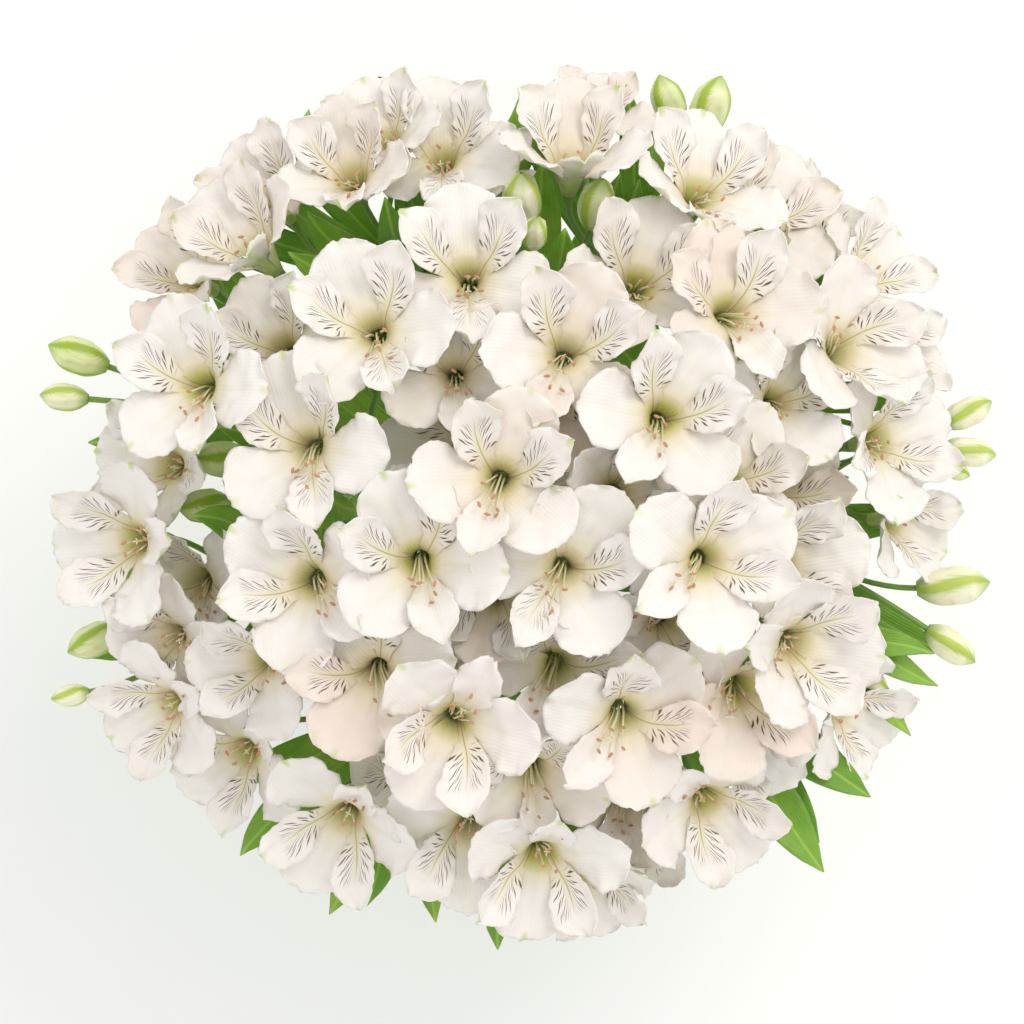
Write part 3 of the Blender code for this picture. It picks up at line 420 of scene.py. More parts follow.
def piece(name, skin, finishes, nodes):
    """The object of one piece, riding on the bunch and standing for its solids."""
    mesh = bpy.data.meshes.new(name)
    mesh.from_pydata(skin.points, [], skin.faces)
    for label, values in (("place", skin.places), ("tone", skin.tones)):
        marks = mesh.attributes.new(label, "FLOAT_VECTOR", "POINT")
        marks.data.foreach_set("vector", [number for value in values for number in value])
    for finish in finishes:
        mesh.materials.append(finish)
    mesh.polygons.foreach_set("material_index", skin.finishes)
    mesh.shade_smooth()
    mesh.set_sharp_from_angle(angle=CREASE)
    made = bpy.data.objects.new(name, mesh)
    bpy.context.scene.collection.objects.link(made)
    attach(made, "root")
    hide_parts(*nodes)
    return made


# Fresh green stalk: a waxy skin over wet tissue, so a soft sheen, with paler lines along it.
# IOR of plant wax.
STALK_GREEN = "#86A84A"
STALK_SHADE = "#5E8630"
STALK_LINE_MM = 0.9
STALK_LINE_RUN_MM = 25
stalk_green, shader = finish_named("stalk_skin", Roughness=0.42, IOR=1.45)
place = add(stalk_green, "ShaderNodeAttribute", {}, out="Vector", attribute_name="place")
line_size = (1 / STALK_LINE_MM, 1 / STALK_LINE_RUN_MM, 1)
stretched = add(stalk_green, "ShaderNodeVectorMath", {0: place, 1: line_size}, operation="MULTIPLY")
lines = add(stalk_green, "ShaderNodeTexNoise", {"Vector": stretched, "Scale": 1.0, "Detail": 3.0})
shades = {0: lines, 6: linear(STALK_SHADE), 7: linear(STALK_GREEN)}
colour = add(stalk_green, "ShaderNodeMix", shades, **COLOURS)
stalk_green.node_tree.links.new(colour, shader.inputs["Base Color"])
bump = add(stalk_green, "ShaderNodeBump", {"Height": lines, "Strength": 0.25, "Distance": 0.3 * MM})
stalk_green.node_tree.links.new(bump, shader.inputs["Normal"])

# Cut end: the pale wet pith that the knife laid open, so smooth, with darker dots of its fibres.
FIBRE_DOT_MM = 1 / 1.4  # coarser than real, so that the dots show
pith, shader = finish_named("cut_pith", Roughness=0.35, IOR=1.36)
dots = add(pith, "ShaderNodeTexVoronoi", {"Scale": 1 / (FIBRE_DOT_MM * MM)}, out="Distance")
colour = add(pith, "ShaderNodeMix", {0: dots, 6: linear("#9DB070"), 7: linear("#DDE3B8")}, **COLOURS)
pith.node_tree.links.new(colour, shader.inputs["Base Color"])

STEM_SIDES = 12
STEM_ROWS = 44
RAY_SIDES = 8
RAY_ROWS = 14
UMBEL_SWELLING = 1.4
STEM_NODES = 9  # faint rings along a stem where leaves sat
NODE_SWELLING = 0.06
SWELLING_START = 0.88  # share of the stem's height where it thickens towards the umbel
STEM_SLIMNESS = 0.97  # against the solid, so that the rings stay within it
RAY_SLIMNESS = 0.92
RAY_CROWDING = 0.8  # sections stand closer where the ovary swells
OVARY_RIBS = 6
OVARY_RIB_DEPTH = 0.10
OVARY_FULLNESS = 1.08
OVARY_SHOULDER = 1.35  # how soon the swelling is full


def stem_radius(share):
    """A stem's radius at a share of its height: faint rings, and the swelling below the umbel."""
    ring_wave = max(0.0, math.cos(math.tau * share * STEM_NODES)) ** 12
    swelling = (UMBEL_SWELLING - 1) * max(0.0, (share - SWELLING_START) / (1 - SWELLING_START)) ** 1.5
    return STEM_RADIUS * (STEM_SLIMNESS + NODE_SWELLING * ring_wave + swelling)


def add_stem(skin, name, own):
    """A stem from its level cut end to its umbel."""
    top = umbels[name].z
    heights = [top * k / STEM_ROWS for k in range(STEM_ROWS + 1)]
    centres = [stem_place(name, z) for z in heights]
    headings = [stem_heading(name, z) for z in heights]
    radii = [stem_radius(z / top) for z in heights]
    first = len(skin.points)
    tube(skin, centres, radii, headings, STEM_SIDES, own, lids=(1, 0))
    for k in range(first, first + STEM_SIDES):
        skin.points[k] = skin.points[k] - headings[0] * (skin.points[k].z / headings[0].z)


def ray_radius(t, curve, tip_radius):
    """Slim along the ray, then the ovary's swelling, which ends under the bloom."""
    left = (1 - t) * (curve[3] - curve[0]).length
    inside = max(0.0, 1 - left / OVARY_LENGTH)
    full = math.sin(min(inside * OVARY_SHOULDER, 1.0) * math.pi / 2) ** 2
    return RAY_RADIUS * RAY_SLIMNESS + (tip_radius * OVARY_FULLNESS - RAY_RADIUS) * full


def add_ray(skin, curve, start, end, tip_radius, own):
    """Part of a ray, with the ribbed ovary where it reaches its bloom."""
    shares = [(k / RAY_ROWS) ** RAY_CROWDING for k in range(RAY_ROWS + 1)]
    stations = [start + (end - start) * share for share in shares]
    centres = [bezier(curve, t) for t in stations]
    headings = [bezier_heading(curve, t) for t in stations]
    radii = [ray_radius(t, curve, tip_radius) for t in stations]
    ovary_start = 1 - OVARY_LENGTH / (curve[3] - curve[0]).length

    def ribs(turn, row):
        t = start + (end - start) * row**RAY_CROWDING
        inside = max(0.0, (t - ovary_start) / (1 - ovary_start))
        return 1 + OVARY_RIB_DEPTH * inside * math.cos(OVARY_RIBS * turn)

    sides = RAY_SIDES if tip_radius == RAY_RADIUS else RAY_SIDES * 3
    tube(skin, centres, radii, headings, sides, own, lids=(0, 0), flute=ribs)


Placed = namedtuple("Placed", "bloom node matrix waves jitters")

draws = random.Random(7)
WAVE = 1.2 * MM
JITTER = 5  # degrees
FACE_GAP = 0.3 * MM  # between the end of a ray and the foot of its bloom
FORK_OVARY = 0.85  # how much slimmer the ovaries of a forked ray's solid are
FORK_OVERLAP = 0.01
order = [(name, ray) for name, (_, rays) in HEADS.items() for ray in rays]
order.sort(key=lambda item: -item[1][0].lift)
stalk_skins = {name: Skin() for name in HEADS}
arm_skins = {}
placed_blooms = []
solid_corners = {node: corners(node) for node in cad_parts}

for k, name in enumerate(HEADS):
    add_stem(stalk_skins[name], name, k)

for name, ray in order:
    stem_corners = solid_corners[f"leafy_stem_{name}"]
    stem_end, stem_end_heading = ray_start(name)
    count = len(placed_blooms)
    node = f"bloom_{count + 1:02d}" if len(ray) == 1 else f"blooms_{count + 1:02d}_{count + 2:02d}"
    own_corners = solid_corners[node]
    fork = None
    for bloom in ray:
        waves = [draws.uniform(-1, 1) * WAVE for _ in range(6)]
        jitters = [draws.uniform(-1, 1) * JITTER for _ in range(6)]

        def hub_corners(sink):
            matrix = bloom_matrix(bloom, sink) @ Matrix.Scale(bloom.size, 4)
            turns = [math.radians(60 * k - 30) for k in range(6)]
            corner_places = [Vector((math.sin(turn), math.cos(turn), 0)) * HUB_RADIUS for turn in turns]
            return [matrix @ place for place in corner_places]

        sink = taken(SINKS, hub_corners, own_corners)
        matrix = bloom_matrix(bloom, sink) @ Matrix.Scale(bloom.size, 4)
        axis = (matrix.to_3x3() @ UP).normalized()
        base = matrix.translation.copy()
        start, heading = (stem_end, stem_end_heading) if fork is None else fork
        heading = (heading + (base - start).normalized()).normalized()
        length = (base - start).length
        ovary = OVARY_RADIUS * bloom.size

        def way(bend, sunk=len(ray) > 1):
            curve = ray_curve(start, heading, base, axis, bend)
            return (*curve[:3], base + axis * HUB_SINK) if sunk else curve

        if len(ray) == 1:
            end = 1 - FACE_GAP / length
            bend = taken(RAY_BENDS, lambda bend: ray_probe(way(bend), 0, end, ovary), stem_corners)
            add_ray(stalk_skins[name], way(bend), 0, 1, ovary, count)
        else:
            first = FORK_SHARE if fork is None else 0
            slim = ovary * FORK_OVARY
            bend = taken(RAY_BENDS, lambda bend: ray_probe(way(bend), first, 1, slim), own_corners)
            arms = arm_skins.setdefault(node, Skin())
            add_ray(arms, way(bend), first, 1, ovary, count)
            if fork is None:
                add_ray(stalk_skins[name], way(bend), 0, FORK_SHARE + FORK_OVERLAP, RAY_RADIUS, count)
                curve = way(bend, sunk=False)
                join = FORK_SHARE + FORK_ROOT / length
                fork = (bezier(curve, join), bezier_heading(curve, join))
        placed_blooms.append(Placed(bloom, node, matrix, waves, jitters))

for node, skin in arm_skins.items():
    piece(f"{node}_arms", skin, [stalk_green], [node])

# Buds: closed flowers on rays of their own, round the rim and between the blooms.
# Three green-tipped outer tepals wrap each one, so it is plump, pointed and ribbed.
# Each row: column and row of the tip, the way it points, its length in mm, how far it rises above level
BUDS = (
    (66, 350, 160, 26, 10),
    (58, 398, 175, 20, 0),
    (165, 452, 175, 26, 35),
    (146, 508, 185, 24, 30),
    (85, 645, 205, 24, 5),
    (68, 690, 190, 16, 0),
    (972, 404, 25, 22, 5),
    (976, 456, -8, 22, 0),
    (950, 476, -20, 13, 0),
    (970, 578, 5, 30, 10),
    (956, 655, -35, 24, 0),
    (812, 412, 30, 24, 45),
    (520, 186, 92, 28, 50),
    (536, 228, 80, 18, 50),
    (602, 182, 75, 26, 45),
    (490, 262, 110, 18, 55),
    (652, 92, 110, 24, 20),
    (712, 92, 70, 28, 15),
    (832, 245, 30, 24, 30),
    (584, 806, 265, 16, 35),
    (908, 700, -35, 14, 0),
    (728, 142, 70, 22, 30),
)
BUD_PROFILE = ((0.0, 0.34), (0.16, 0.72), (0.36, 0.94), (0.72, 0.86), (0.9, 0.44), (1.0, 0.06))
BUD_SLENDERNESS = 0.23
BUD_SEAT = 0.12  # share of the bud that its ray is sunk into
BUD_TWIST = (0.3, 0.9)  # in radians, from foot to tip
BUD_SINKS = tuple(step * MM for step in (8, 2, -4, -10, -16, -22, -28, 14))
BUD_SIDES = 36
BUD_ROWS = 20
BUD_RIB_DEPTH = 0.10
BUD_LAP = 0.17  # how far the edge of one tepal stands over the next, as a share of the radius
BUD_PLUMP = 1.14
RIB_WIDTH = 0.10  # share of a tepal's width
RIB_SLOPE = 0.3
BUD_GRAIN = (0.9, 0.12, 1)  # patches for each millimetre round the bud and along it

# Bud skin: waxy, cream between lime-green ribs, greener at the tip and the foot; some buds are
# further on and creamier than others.
bud_skin, shader = finish_named("bud_skin", Roughness=0.40, IOR=1.45)
tone = add(bud_skin, "ShaderNodeAttribute", {}, out="Vector", attribute_name="tone")
place = add(bud_skin, "ShaderNodeAttribute", {}, out="Vector", attribute_name="place")
along, rib, ripe = (add(bud_skin, "ShaderNodeSeparateXYZ", {0: tone}, out=k) for k in range(3))
grain = add(bud_skin, "ShaderNodeVectorMath", {0: place, 1: BUD_GRAIN}, operation="MULTIPLY")
grain = add(bud_skin, "ShaderNodeTexNoise", {"Vector": grain, "Scale": 1.0, "Detail": 2.0})
rib = add(bud_skin, "ShaderNodeMath", {0: grain, 1: rib}, operation="ADD")
rib = add(bud_skin, "ShaderNodeMapRange", {"Value": rib, "From Min": 0.70, "From Max": 1.35})
lime, cream = (
    add(bud_skin, "ShaderNodeMix", {0: ripe, 6: linear(young), 7: linear(old)}, **COLOURS)
    for young, old in (("#97B530", "#BFCF62"), ("#DCE4A2", "#F6F2DA"))
)
to_tip = {"Value": along, "From Min": 0.80, "From Max": 1.0, "To Max": 0.8}
to_foot = {"Value": along, "From Min": 0.22, "From Max": 0.0}
tip_share, foot_share = (add(bud_skin, "ShaderNodeMapRange", reach) for reach in (to_tip, to_foot))
body = cream
for share, layer in ((rib, lime), (tip_share, linear("#8FB037")), (foot_share, linear("#92B145"))):
    body = add(bud_skin, "ShaderNodeMix", {0: share, 6: body, 7: layer}, **COLOURS)
bud_skin.node_tree.links.new(body, shader.inputs["Base Color"])


def smooth_through(stations, s):
    """A value at s on a smooth curve through the (place, value) stations."""
    last = len(stations) - 1
    k = max(1, next((j for j, (x, _) in enumerate(stations) if x >= s), last))
    (x0, y0), (x1, y1) = stations[k - 1], stations[k]
    before = stations[k - 2] if k > 1 else stations[k - 1]
    after = stations[k + 1] if k < last else stations[k]
    slope0 = (y1 - before[1]) / (x1 - before[0])
    slope1 = (after[1] - y0) / (after[0] - x0)
    t = (s - x0) / (x1 - x0)
    width = x1 - x0
    return (
        y0 * (1 + 2 * t) * (1 - t) ** 2 + y1 * t * t * (3 - 2 * t)
        + width * (slope0 * t * (1 - t) ** 2 - slope1 * t * t * (1 - t))
    )


def nearest_head(point):
    return min(HEADS, key=lambda name: (umbels[name] - point).length)


def pointing(degrees, rise):
    turn = math.radians(degrees)
    lift = math.radians(rise)
    return Vector((math.cos(turn) * math.cos(lift), math.sin(turn) * math.cos(lift), math.sin(lift)))


def add_bud(skin, base, heading, length, own):
    """Three tepals wrapped round each other, each with a raised midrib and one edge over the next."""
    chance = random.Random(own)
    ripe = chance.uniform(0, 1)
    twist = chance.uniform(*BUD_TWIST)
    side = heading.orthogonal().normalized()
    other = heading.cross(side)
    rows = []
    for k in range(BUD_ROWS + 1):
        s = k / BUD_ROWS
        centre = base + heading * length * s
        radius = length * BUD_SLENDERNESS * BUD_PLUMP * smooth_through(BUD_PROFILE, s)
        row = []
        for j in range(BUD_SIDES):
            turn = math.tau * j / BUD_SIDES
            lap = ((turn + twist * s) / math.tau * 3) % 1.0  # across one tepal, from edge to edge
            off_rib = lap - 0.5
            rib = math.exp(-(off_rib / RIB_WIDTH) ** 2) + 0.5 * math.exp(-(off_rib / RIB_SLOPE) ** 2)
            bulge = BUD_RIB_DEPTH * rib + BUD_LAP * (1 - lap) ** 3
            point = centre + (side * math.cos(turn) + other * math.sin(turn)) * radius * (1 + bulge)
            row.append((point, (radius / MM * turn, length / MM * s, own), (s, rib, ripe)))
        rows.append(row)
    skin.sheet(rows, closed=True)


bud_skins = {}
for column, row, degrees, length, rise in BUDS:
    heading = pointing(degrees, rise)
    tip, out = dome_place(column, row)
    name = nearest_head(tip)
    stem_corners = solid_corners[f"leafy_stem_{name}"]
    start, start_heading = ray_start(name)
    size = length * MM
    sink = taken(BUD_SINKS, lambda sink: [tip + out * sink], stem_corners)
    base = tip + out * sink - heading * size
    towards = (start_heading + (base - start).normalized()).normalized()
    stalk_end = base + heading * size * BUD_SEAT

    def bud_ray(bend):
        return ray_curve(start, towards, stalk_end, heading, bend)

    bend = taken(RAY_BENDS, lambda bend: ray_probe(bud_ray(bend), 0, 1, RAY_RADIUS), stem_corners)
    add_ray(stalk_skins[name], bud_ray(bend), 0, 1, RAY_RADIUS, column)
    add_bud(bud_skins.setdefault(name, Skin()), base, heading, size, column)

for name, skin in bud_skins.items():
    piece(f"leafy_stem_{name}_buds", skin, [bud_skin], [f"leafy_stem_{name}"])
for name, skin in stalk_skins.items():
    piece(f"leafy_stem_{name}_stalks", skin, [stalk_green, pith], [f"leafy_stem_{name}"])

# Leaves: thin lance-shaped blades, one at a time along the stems and in a whorl under each umbel.
# Florists strip them below the tie. Their veins run side by side from foot to tip.
# Each row: column and row of the tip, the way it points, its width in mm, how far it rises above level
LEAVES = (
    (304, 100, 75, 13, 10),
    (245, 148, 110, 12, 0),
    (203, 188, 125, 12, 0),
    (170, 220, 140, 11, 0),
    (112, 344, 150, 17, 10),
    (216, 258, 130, 14, 35),
    (398, 148, 110, 13, 30),
    (466, 142, 105, 16, 25),
    (520, 78, 110, 16, 5),
    (552, 68, 85, 17, 5),
    (590, 90, 60, 14, 10),
    (572, 160, 80, 17, 35),
    (642, 172, 70, 14, 25),
    (628, 74, 100, 11, 0),
    (665, 84, 80, 11, 0),
    (796, 236, 75, 18, 20),
    (842, 262, 20, 12, 10),
    (940, 360, 30, 12, 0),
    (842, 446, 15, 12, 30),
    (932, 514, 10, 14, 5),
    (990, 556, 2, 14, -5),
    (990, 590, 0, 13, -10),
    (966, 684, -35, 13, -5),
    (938, 692, -30, 13, -5),
    (877, 802, -35, 17, 0),
    (858, 854, -45, 18, 0),
    (792, 848, -75, 15, -5),
    (843, 750, -5, 14, 10),
    (804, 836, -60, 11, -5),
    (578, 860, 265, 15, 20),
    (497, 958, 275, 16, -5),
    (325, 922, 240, 14, -5),
    (379, 931, 265, 13, -5),
    (234, 862, 235, 15, -5),
    (291, 867, 255, 13, -5),
    (225, 794, 215, 12, 0),
    (79, 661, 200, 15, 0),
    (62, 588, 190, 13, 0),
    (262, 782, 230, 14, 10),
    (205, 700, 200, 13, 15),
    (222, 486, 185, 15, 30),
    (330, 500, 140, 13, 40),
    (722, 470, 60, 13, 35),
    (302, 204, 120, 14, 25),
    (283, 246, 145, 14, 30),
    (382, 190, 100, 13, 35),
    (566, 222, 85, 16, 40),
    (622, 166, 70, 14, 30),
    (212, 424, 165, 15, 30),
    (176, 530, 190, 15, 25),
    (78, 440, 180, 15, 5),
    (852, 826, -48, 17, -5),
    (362, 916, 250, 15, -5),
)
LEAF_PROFILE = ((0.0, 0.2), (0.42, 0.86), (0.74, 0.96), (0.9, 0.56), (1.0, 0.0))
LEAF_DEPTH = 4 * MM
LEAF_REACH = 0.35
LEAF_CUP = 0.10
# What a leaf may have given way by, as its solid did: swing in degrees, rise, share of its reach
LEAF_GIVES = tuple(
    (swing, rise * MM, share)
    for share in (1.0, 0.9, 0.8, 0.65, 0.5, 0.35)
    for rise in (0, -8, 8, -16, -26)
    for swing in (0, -4, 4, -8, 8, -14, 14, -22, 22)
)
STEM_LEAVES = {"outer": 3, "inner": 2, "middle": 1}  # on the bare part of a stem, from the tie to the umbel
STEM_LEAF_START = 0.36
STEM_LEAF_STEP = 0.18  # share of the bare part from one leaf to the next
STEM_LEAF_SCATTER = 60  # degrees
GOLDEN_ANGLE = 137.5
STEM_LEAF_TURN = 0.35  # how much of the scatter a leaf takes, round the way outwards from the bundle
STEM_LEAF_RISE = 28  # degrees above level, of the leaf's tip seen from its root
STEM_LEAF_DROOP = 12  # degrees above level, of the tip's own heading
STEM_LEAF_LENGTH = 80 * MM
STEM_LEAF_WIDTH = 17 * MM
LEAF_ROWS = 26
LEAF_COLUMNS = 10
LEAF_THICKNESS = 0.5 * MM
LEAF_RIPPLE = 1.1 * MM
LEAF_RIPPLES = 11  # radians of ripple from foot to tip
LEAF_FULLNESS = 1.12
LEAF_FOOT = 0.03  # the least width, as a share of the full one
MOTTLE = 0.09  # patches for each millimetre

# Leaf blade: glossy wax over deep green, a paler midrib and fine veins side by side 1.1 mm apart.
VEIN_MM = 1.1
leaf_blade, shader = finish_named("leaf_blade", Roughness=0.38, IOR=1.48)
place = add(leaf_blade, "ShaderNodeAttribute", {}, out="Vector", attribute_name="place")
across = add(leaf_blade, "ShaderNodeSeparateXYZ", {0: place}, out=0)
own = add(leaf_blade, "ShaderNodeSeparateXYZ", {0: place}, out=2)
wave = add(leaf_blade, "ShaderNodeMath", {0: across, 1: math.tau / VEIN_MM}, operation="MULTIPLY")
vein = add(leaf_blade, "ShaderNodeMath", {0: wave}, operation="COSINE")
vein = add(leaf_blade, "ShaderNodeMapRange", {"Value": vein, "From Min": 0.2, "From Max": 1.0})
distance = add(leaf_blade, "ShaderNodeMath", {0: across}, operation="ABSOLUTE")
rib_reach = {"Value": distance, "From Min": 0.9, "From Max": 0.2, "To Max": 0.6}
midrib = add(leaf_blade, "ShaderNodeMapRange", rib_reach)
mottle = add(leaf_blade, "ShaderNodeTexNoise", {"Vector": place, "Scale": MOTTLE, "Detail": 3.0})
shade = add(leaf_blade, "ShaderNodeTexWhiteNoise", {"W": own}, noise_dimensions="1D")
deep = add(leaf_blade, "ShaderNodeMix", {0: shade, 6: linear("#6FA628"), 7: linear("#A8CF4C")}, **COLOURS)
vein_share = add(leaf_blade, "ShaderNodeMath", {0: vein, 1: 0.16}, operation="MULTIPLY")
blade = linear("#579020")
for share, layer in ((mottle, deep), (vein_share, linear("#A6CC58")), (midrib, linear("#AED060"))):
    blade = add(leaf_blade, "ShaderNodeMix", {0: share, 6: blade, 7: layer}, **COLOURS)
leaf_blade.node_tree.links.new(blade, shader.inputs["Base Color"])
bump = add(leaf_blade, "ShaderNodeBump", {"Height": vein, "Strength": 0.5, "Distance": 0.2 * MM})
leaf_blade.node_tree.links.new(bump, shader.inputs["Normal"])


def leaf_curve(root, root_heading, tip, heading, give):
    """From its root to the tip, swung round the root and shortened where it gave way."""
    swing, rise, share = give
    turn = Matrix.Rotation(math.radians(swing), 3, "Z")
    reach = turn @ (tip - root) * share
    end = root + reach + UP * rise
    start_heading = (root_heading + reach.normalized()).normalized()
    handle = (end - root).length * LEAF_REACH
    return (root, root + start_heading * handle, end - turn @ heading * handle, end)


def add_leaf(skin, curve, width, own):
    """A lance-shaped blade, cupped along its midrib and rippled at its edges."""
    rows = []
    length = (curve[3] - curve[0]).length / MM
    for k in range(LEAF_ROWS + 1):
        s = k / LEAF_ROWS
        centre = bezier(curve, s)
        heading = bezier_heading(curve, s)
        side = heading.cross(UP).normalized()
        front = side.cross(heading)
        half = LEAF_FULLNESS * width / 2 * max(LEAF_FOOT, smooth_through(LEAF_PROFILE, s))
        row = []
        for j in range(LEAF_COLUMNS + 1):
            u = 2 * j / LEAF_COLUMNS - 1
            rise = LEAF_CUP * width * abs(u) ** 1.3 * min(1.0, half / width * 2)
            ripple = LEAF_RIPPLE * u * abs(u) * math.sin(s * LEAF_RIPPLES + own + (2 if u > 0 else 0))
            point = centre + side * half * u + front * (rise + ripple * math.sin(math.pi * s))
            row.append((point, (u * half / MM, s * length, own), (s, u, 0)))
        rows.append(row)
    skin.sheet(rows)


def place_leaf(name, root, root_heading, tip, heading, width, own):
    """Grows a leaf the way that its solid took."""
    def tip_given(give):
        return [leaf_curve(root, root_heading, tip, heading, give)[3]]

    give = taken(LEAF_GIVES, tip_given, solid_corners[f"leafy_stem_{name}"])
    add_leaf(leaf_skins[name], leaf_curve(root, root_heading, tip, heading, give), width, own)


def thicken(made, thickness, back_finish=0):
    """Gives a sheet its thickness; its far side takes the finish that is so many places on."""
    solid = made.modifiers.new("thickness", "SOLIDIFY")
    solid.thickness = thickness
    solid.offset = 0
    solid.material_offset = back_finish


leaf_skins = {name: Skin() for name in HEADS}
for column, row, degrees, width, rise in LEAVES:
    heading = pointing(degrees, rise)
    tip, out = dome_place(column, row)
    tip -= out * LEAF_DEPTH
    name = nearest_head(tip)
    place_leaf(name, *ray_start(name), tip, heading, width * MM, column + row)

for name in HEADS:
    span = umbels[name].z - TIE_HEIGHT
    for k in range(STEM_LEAVES[stems[name][0]]):
        z = TIE_HEIGHT + span * (STEM_LEAF_START + STEM_LEAF_STEP * k)
        root = stem_place(name, z)
        root_heading = stem_heading(name, z)
        turn = draws.uniform(-1, 1) * STEM_LEAF_SCATTER + GOLDEN_ANGLE * k
        outward = math.degrees(math.atan2(root.y, root.x)) if stems[name][0] == "outer" else turn
        azimuth = outward + STEM_LEAF_TURN * turn
        tip = root + pointing(azimuth, STEM_LEAF_RISE) * STEM_LEAF_LENGTH
        heading = pointing(azimuth, STEM_LEAF_DROOP)
        place_leaf(name, root, root_heading, tip, heading, STEM_LEAF_WIDTH, azimuth)

for name, skin in leaf_skins.items():
    made = piece(f"leafy_stem_{name}_leaves", skin, [leaf_blade], [f"leafy_stem_{name}"])
    thicken(made, LEAF_THICKNESS)

# Tepals: six to a bloom, thin, waxy white tissue, each grown by a narrow claw on the end of the ovary.
# The three outer ones are broad, with a green point. The two upper inner ones are narrower and
# feathered with dark streaks; the low one is mostly plain.
Tepal = namedtuple("Tepal", "name azimuth shift slope_in slope_out length width cup blunt")
TEPALS = (
    Tepal("outer_top", 0, 0, 64, 78, 27 * MM, 28 * MM, 0.02, 0.5),
    Tepal("inner_left", -60, 15, 42, 58, 28 * MM, 20 * MM, 0.12, 0),
    Tepal("inner_right", 60, -15, 42, 58, 28 * MM, 20 * MM, 0.12, 0),
    Tepal("outer_left", -120, 4, 60, 76, 27 * MM, 29 * MM, 0.08, 0.5),
    Tepal("outer_right", 120, -4, 60, 76, 27 * MM, 29 * MM, 0.08, 0.5),
    Tepal("inner_low", 180, 0, 50, 66, 27 * MM, 18 * MM, 0.14, 0),
)
WIDEST = 0.58
FLEXES = tuple(
    (bend, share)
    for share, bends in (
        (1.0, (0, -8, 8, -16, 16)),
        (0.85, (0, -8, 8, -16, 16, -24, 24)),
        (0.7, (0, -16, 16, -28, 28, -40, 40)),
        (0.5, (0, -16, 16, -32, 32, -48, 48)),
        (0.3, (0, -20, 20, -40, 40, 60)),
    )
    for bend in bends
)
TEPAL_THICKNESS = 0.4 * MM
CLAW_ROWS = 4
BLADE_ROWS = 18
TEPAL_COLUMNS = 16
BLADE_GROWTH = 1.05
OUTER_FULLNESS = 1.10
INNER_FULLNESS = 1.06
OUTER_CLAW = 13 * MM  # the outer claws close the gaps behind the inner ones
INNER_CLAW = 9.3 * MM
OUTER_BEHIND = 0.6 * MM
CLAW_FOOT = 1.7 * MM
FRILL = 1.3 * MM
TIP_FRILL = 0.5 * MM
NICK = 0.035  # of the length, how far the end is nicked
EDGE_NICK = 0.9 * MM
BUCKLE = 1.3 * MM
CRUMPLE = 0.35 * MM
NICK_SIZE_MM = 2.2
EDGE_NICK_SIZE_MM = 2.4
BUCKLE_SIZE_MM = 9
CRUMPLE_SIZE_MM = 3
CRUMPLE_RUN_MM = 4
EDGE_RIPPLE = 2.6  # a faster wave on top of the edge's own
RIPPLE_SHARE = 0.45
GROOVE = 0.6 * MM
GROOVE_WIDTH = 0.14  # share of half the width
POINT_WIDTH = 0.16
OUTER_END = 0.50  # width of the end, as a share of the widest
INNER_END = 0.20
OUTER_ROUNDING = 0.07  # share of the length that the corners of the end fall short by
INNER_ROUNDING = 0.02
OUTER_POINT = 0.03  # share of the length that the middle of the end stands out by
INNER_POINT = 0.02
SHOULDER = 1.2  # higher is slimmer between the claw and the widest place
END_ROUNDNESS = 2.3
EDGE_WAVES = (1.3, 2.4)  # along each edge
EDGE_ROLL_MM = (-1.6, 2.6)  # how far an edge rolls back at the tip
RECURVE_MM = (-1.0, 3.4)  # how far the tip turns back
TWIST = 7  # degrees
SPOON_MM = (0.2, 1.5)  # how hollow the middle is
SWERVE_MM = 1.5  # how far the tip may lean aside
TIP_FLEX = 1.2  # how much more the tip bends than the throat
SHIFT_RATE = 1.6
LEAST_WIDTH = 0.4  # a shortened tepal narrows towards this share of its width
CLAW_RING = HUB_RADIUS * 1.05
CLAW_RISE = 1.2 * MM
CLAW_KNEE = 7 * MM  # below the throat

# Petal: thin wet tissue under a matt skin of tiny cells, so a soft sheen on a milky white.
# Cream in the throat, olive where the claws meet, brown feathered dashes, and often a lime spot at
# the tip.
STREAK_GAP = 1.35  # between the feather's dashes, in millimetres at the midline
STREAK_FAN = 0.36  # how much the dashes lean out from the midline, for each millimetre across
DASH_LENGTH = 4.4  # the shortest, in millimetres
DASH_TAPER = 0.05  # share of a gap taken off the width, so that both ends run out to nothing
DASH_BLUR = 0.04
WOBBLE = 1.2  # millimetres that the streaks wander by
WOBBLES = 0.22  # for each millimetre, as are the next two
CLOUDS = 0.08
BACK_CLOUDS = 0.3
VEIN_GAP_MM = 1.5
LIME_SPOT_MM = (1.7, 3.6)  # half its width, and its length
BLUSHED = linear("#EED6C6")
TIP_GREEN = linear("#B7CC5E")
petal, shader = finish_named("petal_skin", Roughness=0.55, IOR=1.40, Sheen_Weight=0.1)
place = add(petal, "ShaderNodeAttribute", {}, out="Vector", attribute_name="place")
tone = add(petal, "ShaderNodeAttribute", {}, out="Vector", attribute_name="tone")
across, along, own = (add(petal, "ShaderNodeSeparateXYZ", {0: place}, out=k) for k in range(3))
streaked, blush, from_tip = (add(petal, "ShaderNodeSeparateXYZ", {0: tone}, out=k) for k in range(3))
wobble = add(petal, "ShaderNodeTexNoise", {"Vector": place, "Scale": WOBBLES, "Detail": 1.0})
wobble = add(petal, "ShaderNodeMapRange", {"Value": wobble, "To Min": -WOBBLE, "To Max": WOBBLE})
away = add(petal, "ShaderNodeMath", {0: across}, operation="ABSOLUTE")
fan = add(petal, "ShaderNodeMath", {0: away, 1: STREAK_FAN, 2: 1.0}, operation="MULTIPLY_ADD")
feather = add(petal, "ShaderNodeMath", {0: along, 1: wobble}, operation="ADD")
feather = add(petal, "ShaderNodeMath", {0: feather, 1: fan}, operation="DIVIDE")


